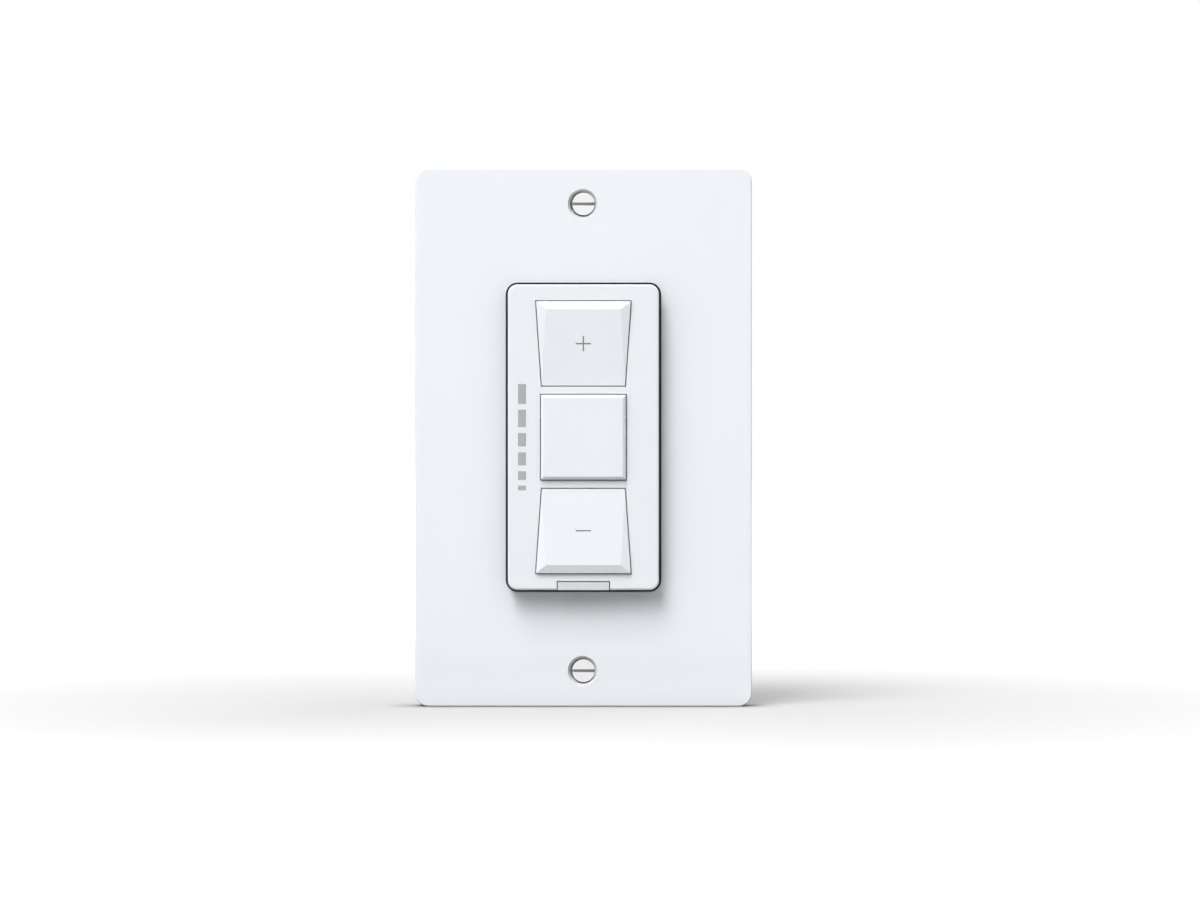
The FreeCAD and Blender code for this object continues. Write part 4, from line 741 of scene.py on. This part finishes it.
# Painted shade: the tab's white is darker than the face's, as the shade that the minus button
# casts on it.
tab_shaded_white = moulded("tab_shaded_white", (0.690, 0.710, 0.738), (0.705, 0.725, 0.753), 0.34, 0.42, 1600.0,
                    0.000004)
dress(tab_shaded_white, "air_gap_tab")
dress(contact_copper, "air_gap_blade", "air_gap_contacts", rounded=False)

# Wall plate. A white cover injection moulded in hard thermoplastic, polished outside, with
# bosses and ribs on the wall side. Its outer edge is crisp. Shade is painted on its front: darker
# round the insert, nearly black on the walls of its opening, and a grey ring in its screws' seats.
plate_corner_shade_reach = 0.012
opening_side_start = -0.00555
opening_half_width = 0.0163
opening_half_height = 0.0323
seat_middle = (-0.00019, 0, 0.04842)
seat_radius = 0.00312
seat_start = -0.00557
plate_white = moulded("plate_white", (0.884, 0.911, 0.948), (0.895, 0.922, 0.959), 0.32, 0.40,
                      1400.0, 0.000003)
# Painted shade: darker where the insert stands close over the plate, and nearly black on the walls
# of the opening.
painted_corner_shade(plate_white, plate_corner_shade_reach, corner_shade_share)
painted_gap_shade(plate_white, rim_gap_shade_tone, opening_side_start, opening_half_width, opening_half_height)
# Painted shade: a grey ring in the round seats of the screws, standing for the shade in their
# countersinks.
tree, _, parts = object_place(plate_white)
either_end = wire(tree, "ShaderNodeCombineXYZ",
                  {0: parts[0], 2: combined(tree, "ABSOLUTE", parts[2])}).outputs[0]
from_seat = vector_math(tree, "DISTANCE", either_end, seat_middle)
painted_seat_shade = combined(tree, "MULTIPLY", combined(tree, "LESS_THAN", from_seat, seat_radius),
                combined(tree, "GREATER_THAN", parts[1], seat_start))
tinted(plate_white, painted_seat_shade, (0.70, 0.70, 0.70))
plate_corner = 0.0028
solid_edge = 0.0010
crisp_edge = 0.0003
edge_share = crisp_edge / solid_edge
plate_low, plate_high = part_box("wall_plate")
edge_end = plate_low.y + solid_edge
straight_half_width = plate_high.x - plate_corner
straight_half_height = plate_high.z - plate_corner
plate = bmesh.new()
plate.from_mesh(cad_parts["wall_plate"].data)
bmesh.ops.remove_doubles(plate, verts=plate.verts, dist=same_place)
for vert in plate.verts:
    x, y, z = vert.co
    core = Vector((math.copysign(min(abs(x), straight_half_width), x), y,
                   math.copysign(min(abs(z), straight_half_height), z)))
    outwards = vert.co - core
    inset = plate_corner - outwards.length
    if inset < solid_edge + same_place and y < edge_end + same_place:
        vert.co = core + outwards * ((plate_corner - inset * edge_share) / outwards.length)
        vert.co.y = plate_low.y + (y - plate_low.y) * edge_share
plate_cover = add_piece(plate, "plate_cover", "chassis", plate_white,
                        corner=corner_angle)
split = plate_cover.modifiers.new("keep corners", "EDGE_SPLIT")
split.split_angle = math.radians(corner_angle)
plate_cover.modifiers.move(1, 0)
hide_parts("wall_plate")

# Plate screws. Short slotted steel screws. Their heads are lacquered to match the plate, with
# all that lies deeper than the face, the slot first, painted grey as shade, and the shanks are
# bare.
slot_shade_start = -0.0053
shank_start = -0.0034
screw_white = moulded("screw_white", (0.885, 0.890, 0.898), (0.91, 0.915, 0.923), 0.26, 0.34,
                      2400.0, 0.00001, coat=0.3)
# Painted shade: deeper than the head's face the lacquer turns grey.
tree, _, parts = object_place(screw_white)
tinted(screw_white, combined(tree, "GREATER_THAN", parts[1], slot_shade_start),
       (0.60, 0.60, 0.61))
dress(screw_white, "plate_screws")
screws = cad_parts["plate_screws"].data
screws.materials.append(steel)
for face in screws.polygons:
    if face.center.y > shank_start:
        face.material_index = 1

# Floor. A seamless sheet of matt white paper that runs out of sight. The switch stands on it on
# the plate's lower edge, and the paper glows by itself where the backdrop has to be pure white.
# Close round the plate's foot its glow and colour are turned down as a painted contact shadow.
def seen_rays(tree):
    """A mask of the rays that show the scene, as against those that only light it."""
    ray = tree.nodes.new("ShaderNodeLightPath").outputs
    mirrored = combined(tree, "MAXIMUM", ray["Is Glossy Ray"], ray["Is Transmission Ray"])
    return combined(tree, "MAXIMUM", ray["Is Camera Ray"], mirrored)


floor_half_size = 6.0
foot_middle = (0, -0.0028, 0)
foot_half_size = (0.0345, 0.0028, 1.0)
near_end = 0.14
glow_with_foot_shade = (0.29, 0.53)
far_end = 0.5
far_glow = 0.48
paper_lighting = (0.34, 0.34, 0.34)
paper_seen = (0.39, 0.39, 0.39)
contact_shade_reach = 0.008
floor_mesh = bmesh.new()
bmesh.ops.create_grid(floor_mesh, x_segments=1, y_segments=1, size=floor_half_size)
bmesh.ops.translate(floor_mesh, vec=(0, 0, cad_box[0].z), verts=floor_mesh.verts)
floor_data = bpy.data.meshes.new("floor")
floor_mesh.to_mesh(floor_data)
floor_mesh.free()
floor = bpy.data.objects.new("floor", floor_data)
bpy.context.scene.collection.objects.link(floor)
floor_white = bpy.data.materials.new("floor_white")
floor_white.use_nodes = True
tree = floor_white.node_tree
tree.nodes.remove(tree.nodes["Principled BSDF"])
seen = seen_rays(tree)
spot = tree.nodes.new("ShaderNodeTexCoord").outputs["Object"]
far = wire(tree, "ShaderNodeMapRange", {"Value": vector_math(tree, "LENGTH", spot),
                                        "From Min": near_end, "From Max": far_end,
                                        "To Max": far_glow},
           interpolation_type="SMOOTHSTEP").outputs[0]
# Painted shade: the glow is dimmer near the plate's foot, and an ambient occlusion node darkens it
# and the paper's colour close to the switch.
across = vector_math(tree, "ABSOLUTE", vector_math(tree, "SUBTRACT", spot, foot_middle))
beyond = vector_math(tree, "MAXIMUM", vector_math(tree, "SUBTRACT", across, foot_half_size))
near = wire(tree, "ShaderNodeMapRange", {"Value": vector_math(tree, "LENGTH", beyond),
                                         "From Max": near_end, "To Min": glow_with_foot_shade[0],
                                         "To Max": glow_with_foot_shade[1]}).outputs[0]
contact = wire(tree, "ShaderNodeAmbientOcclusion",
               {"Color": between(tree, seen, paper_lighting, paper_seen),
                "Distance": contact_shade_reach}, samples=6).outputs
paper = wire(tree, "ShaderNodeBsdfDiffuse", {"Color": contact["Color"]})
open_glow = combined(tree, "ADD", combined(tree, "MULTIPLY", near, contact["AO"]), far)
glow = wire(tree, "ShaderNodeEmission", {"Strength": combined(tree, "MULTIPLY", seen, open_glow)})
both = wire(tree, "ShaderNodeAddShader", {0: paper.outputs[0], 1: glow.outputs[0]})
tree.links.new(both.outputs[0], tree.nodes["Material Output"].inputs["Surface"])
floor_data.materials.append(floor_white)

# Studio. White surroundings and six large soft boxes, all at the same distance: most of the light
# comes from high on the left, less from the front and the right, and a little from behind. Each
# box has its turn to the right of straight in front and its height over the horizon, both in
# degrees, then its size and its power.
studio = bpy.data.worlds.new("studio")
bpy.context.scene.world = studio
studio.use_nodes = True
tree = studio.node_tree
surround_lighting = 0.04
surround_seen = 1.0
background = tree.nodes["Background"].inputs
background["Color"].default_value = (1, 1, 1, 1)
tree.links.new(between(tree, seen_rays(tree), surround_lighting, surround_seen),
               background["Strength"])
soft_box_distance = 4.5
soft_boxes = {
    "high left": (-30.5, 59.7, 2.1, 167.6),
    "front left": (-25.0, 38.0, 2.1, 80.0),
    "side left": (-60.0, 38.0, 2.1, 18.0),
    "front right": (45.0, 38.0, 2.1, 23.4),
    "back right": (140.5, 48.9, 2.1, 50.0),
    "back left": (-149.7, 21.6, 2.7, 59.0),
}
for name, (turn, height, size, power) in soft_boxes.items():
    lifted = Matrix.Rotation(math.radians(-height), 3, "X") @ Vector((0, -soft_box_distance, 0))
    place = Matrix.Rotation(math.radians(turn), 3, "Z") @ lifted
    lamp_data = bpy.data.lights.new(name, "AREA")
    lamp_data.shape = "SQUARE"
    lamp_data.size = size
    lamp_data.energy = power
    lamp = bpy.data.objects.new(name, lamp_data)
    lamp.location = place
    lamp.rotation_euler = (-place).to_track_quat("-Z", "Y").to_euler()
    bpy.context.scene.collection.objects.link(lamp)

# Camera. It looks straight at the plate from 0.8 m away, and stands a little right of the
# plate's middle and a little below it.
view_distance = 0.8
view_width = 0.2489
aim = (0.00343, -0.0056, -0.00264)
camera_data = bpy.data.cameras.new("camera")
camera_data.sensor_width = 36
camera_data.lens = camera_data.sensor_width * view_distance / view_width
camera_data.clip_end = 50
camera = bpy.data.objects.new("camera", camera_data)
camera.location = (aim[0], aim[1] - view_distance, aim[2])
camera.rotation_euler = (math.pi / 2, 0, 0)
bpy.context.scene.collection.objects.link(camera)
bpy.context.scene.camera = camera
bpy.context.scene.view_settings.view_transform = "Standard"
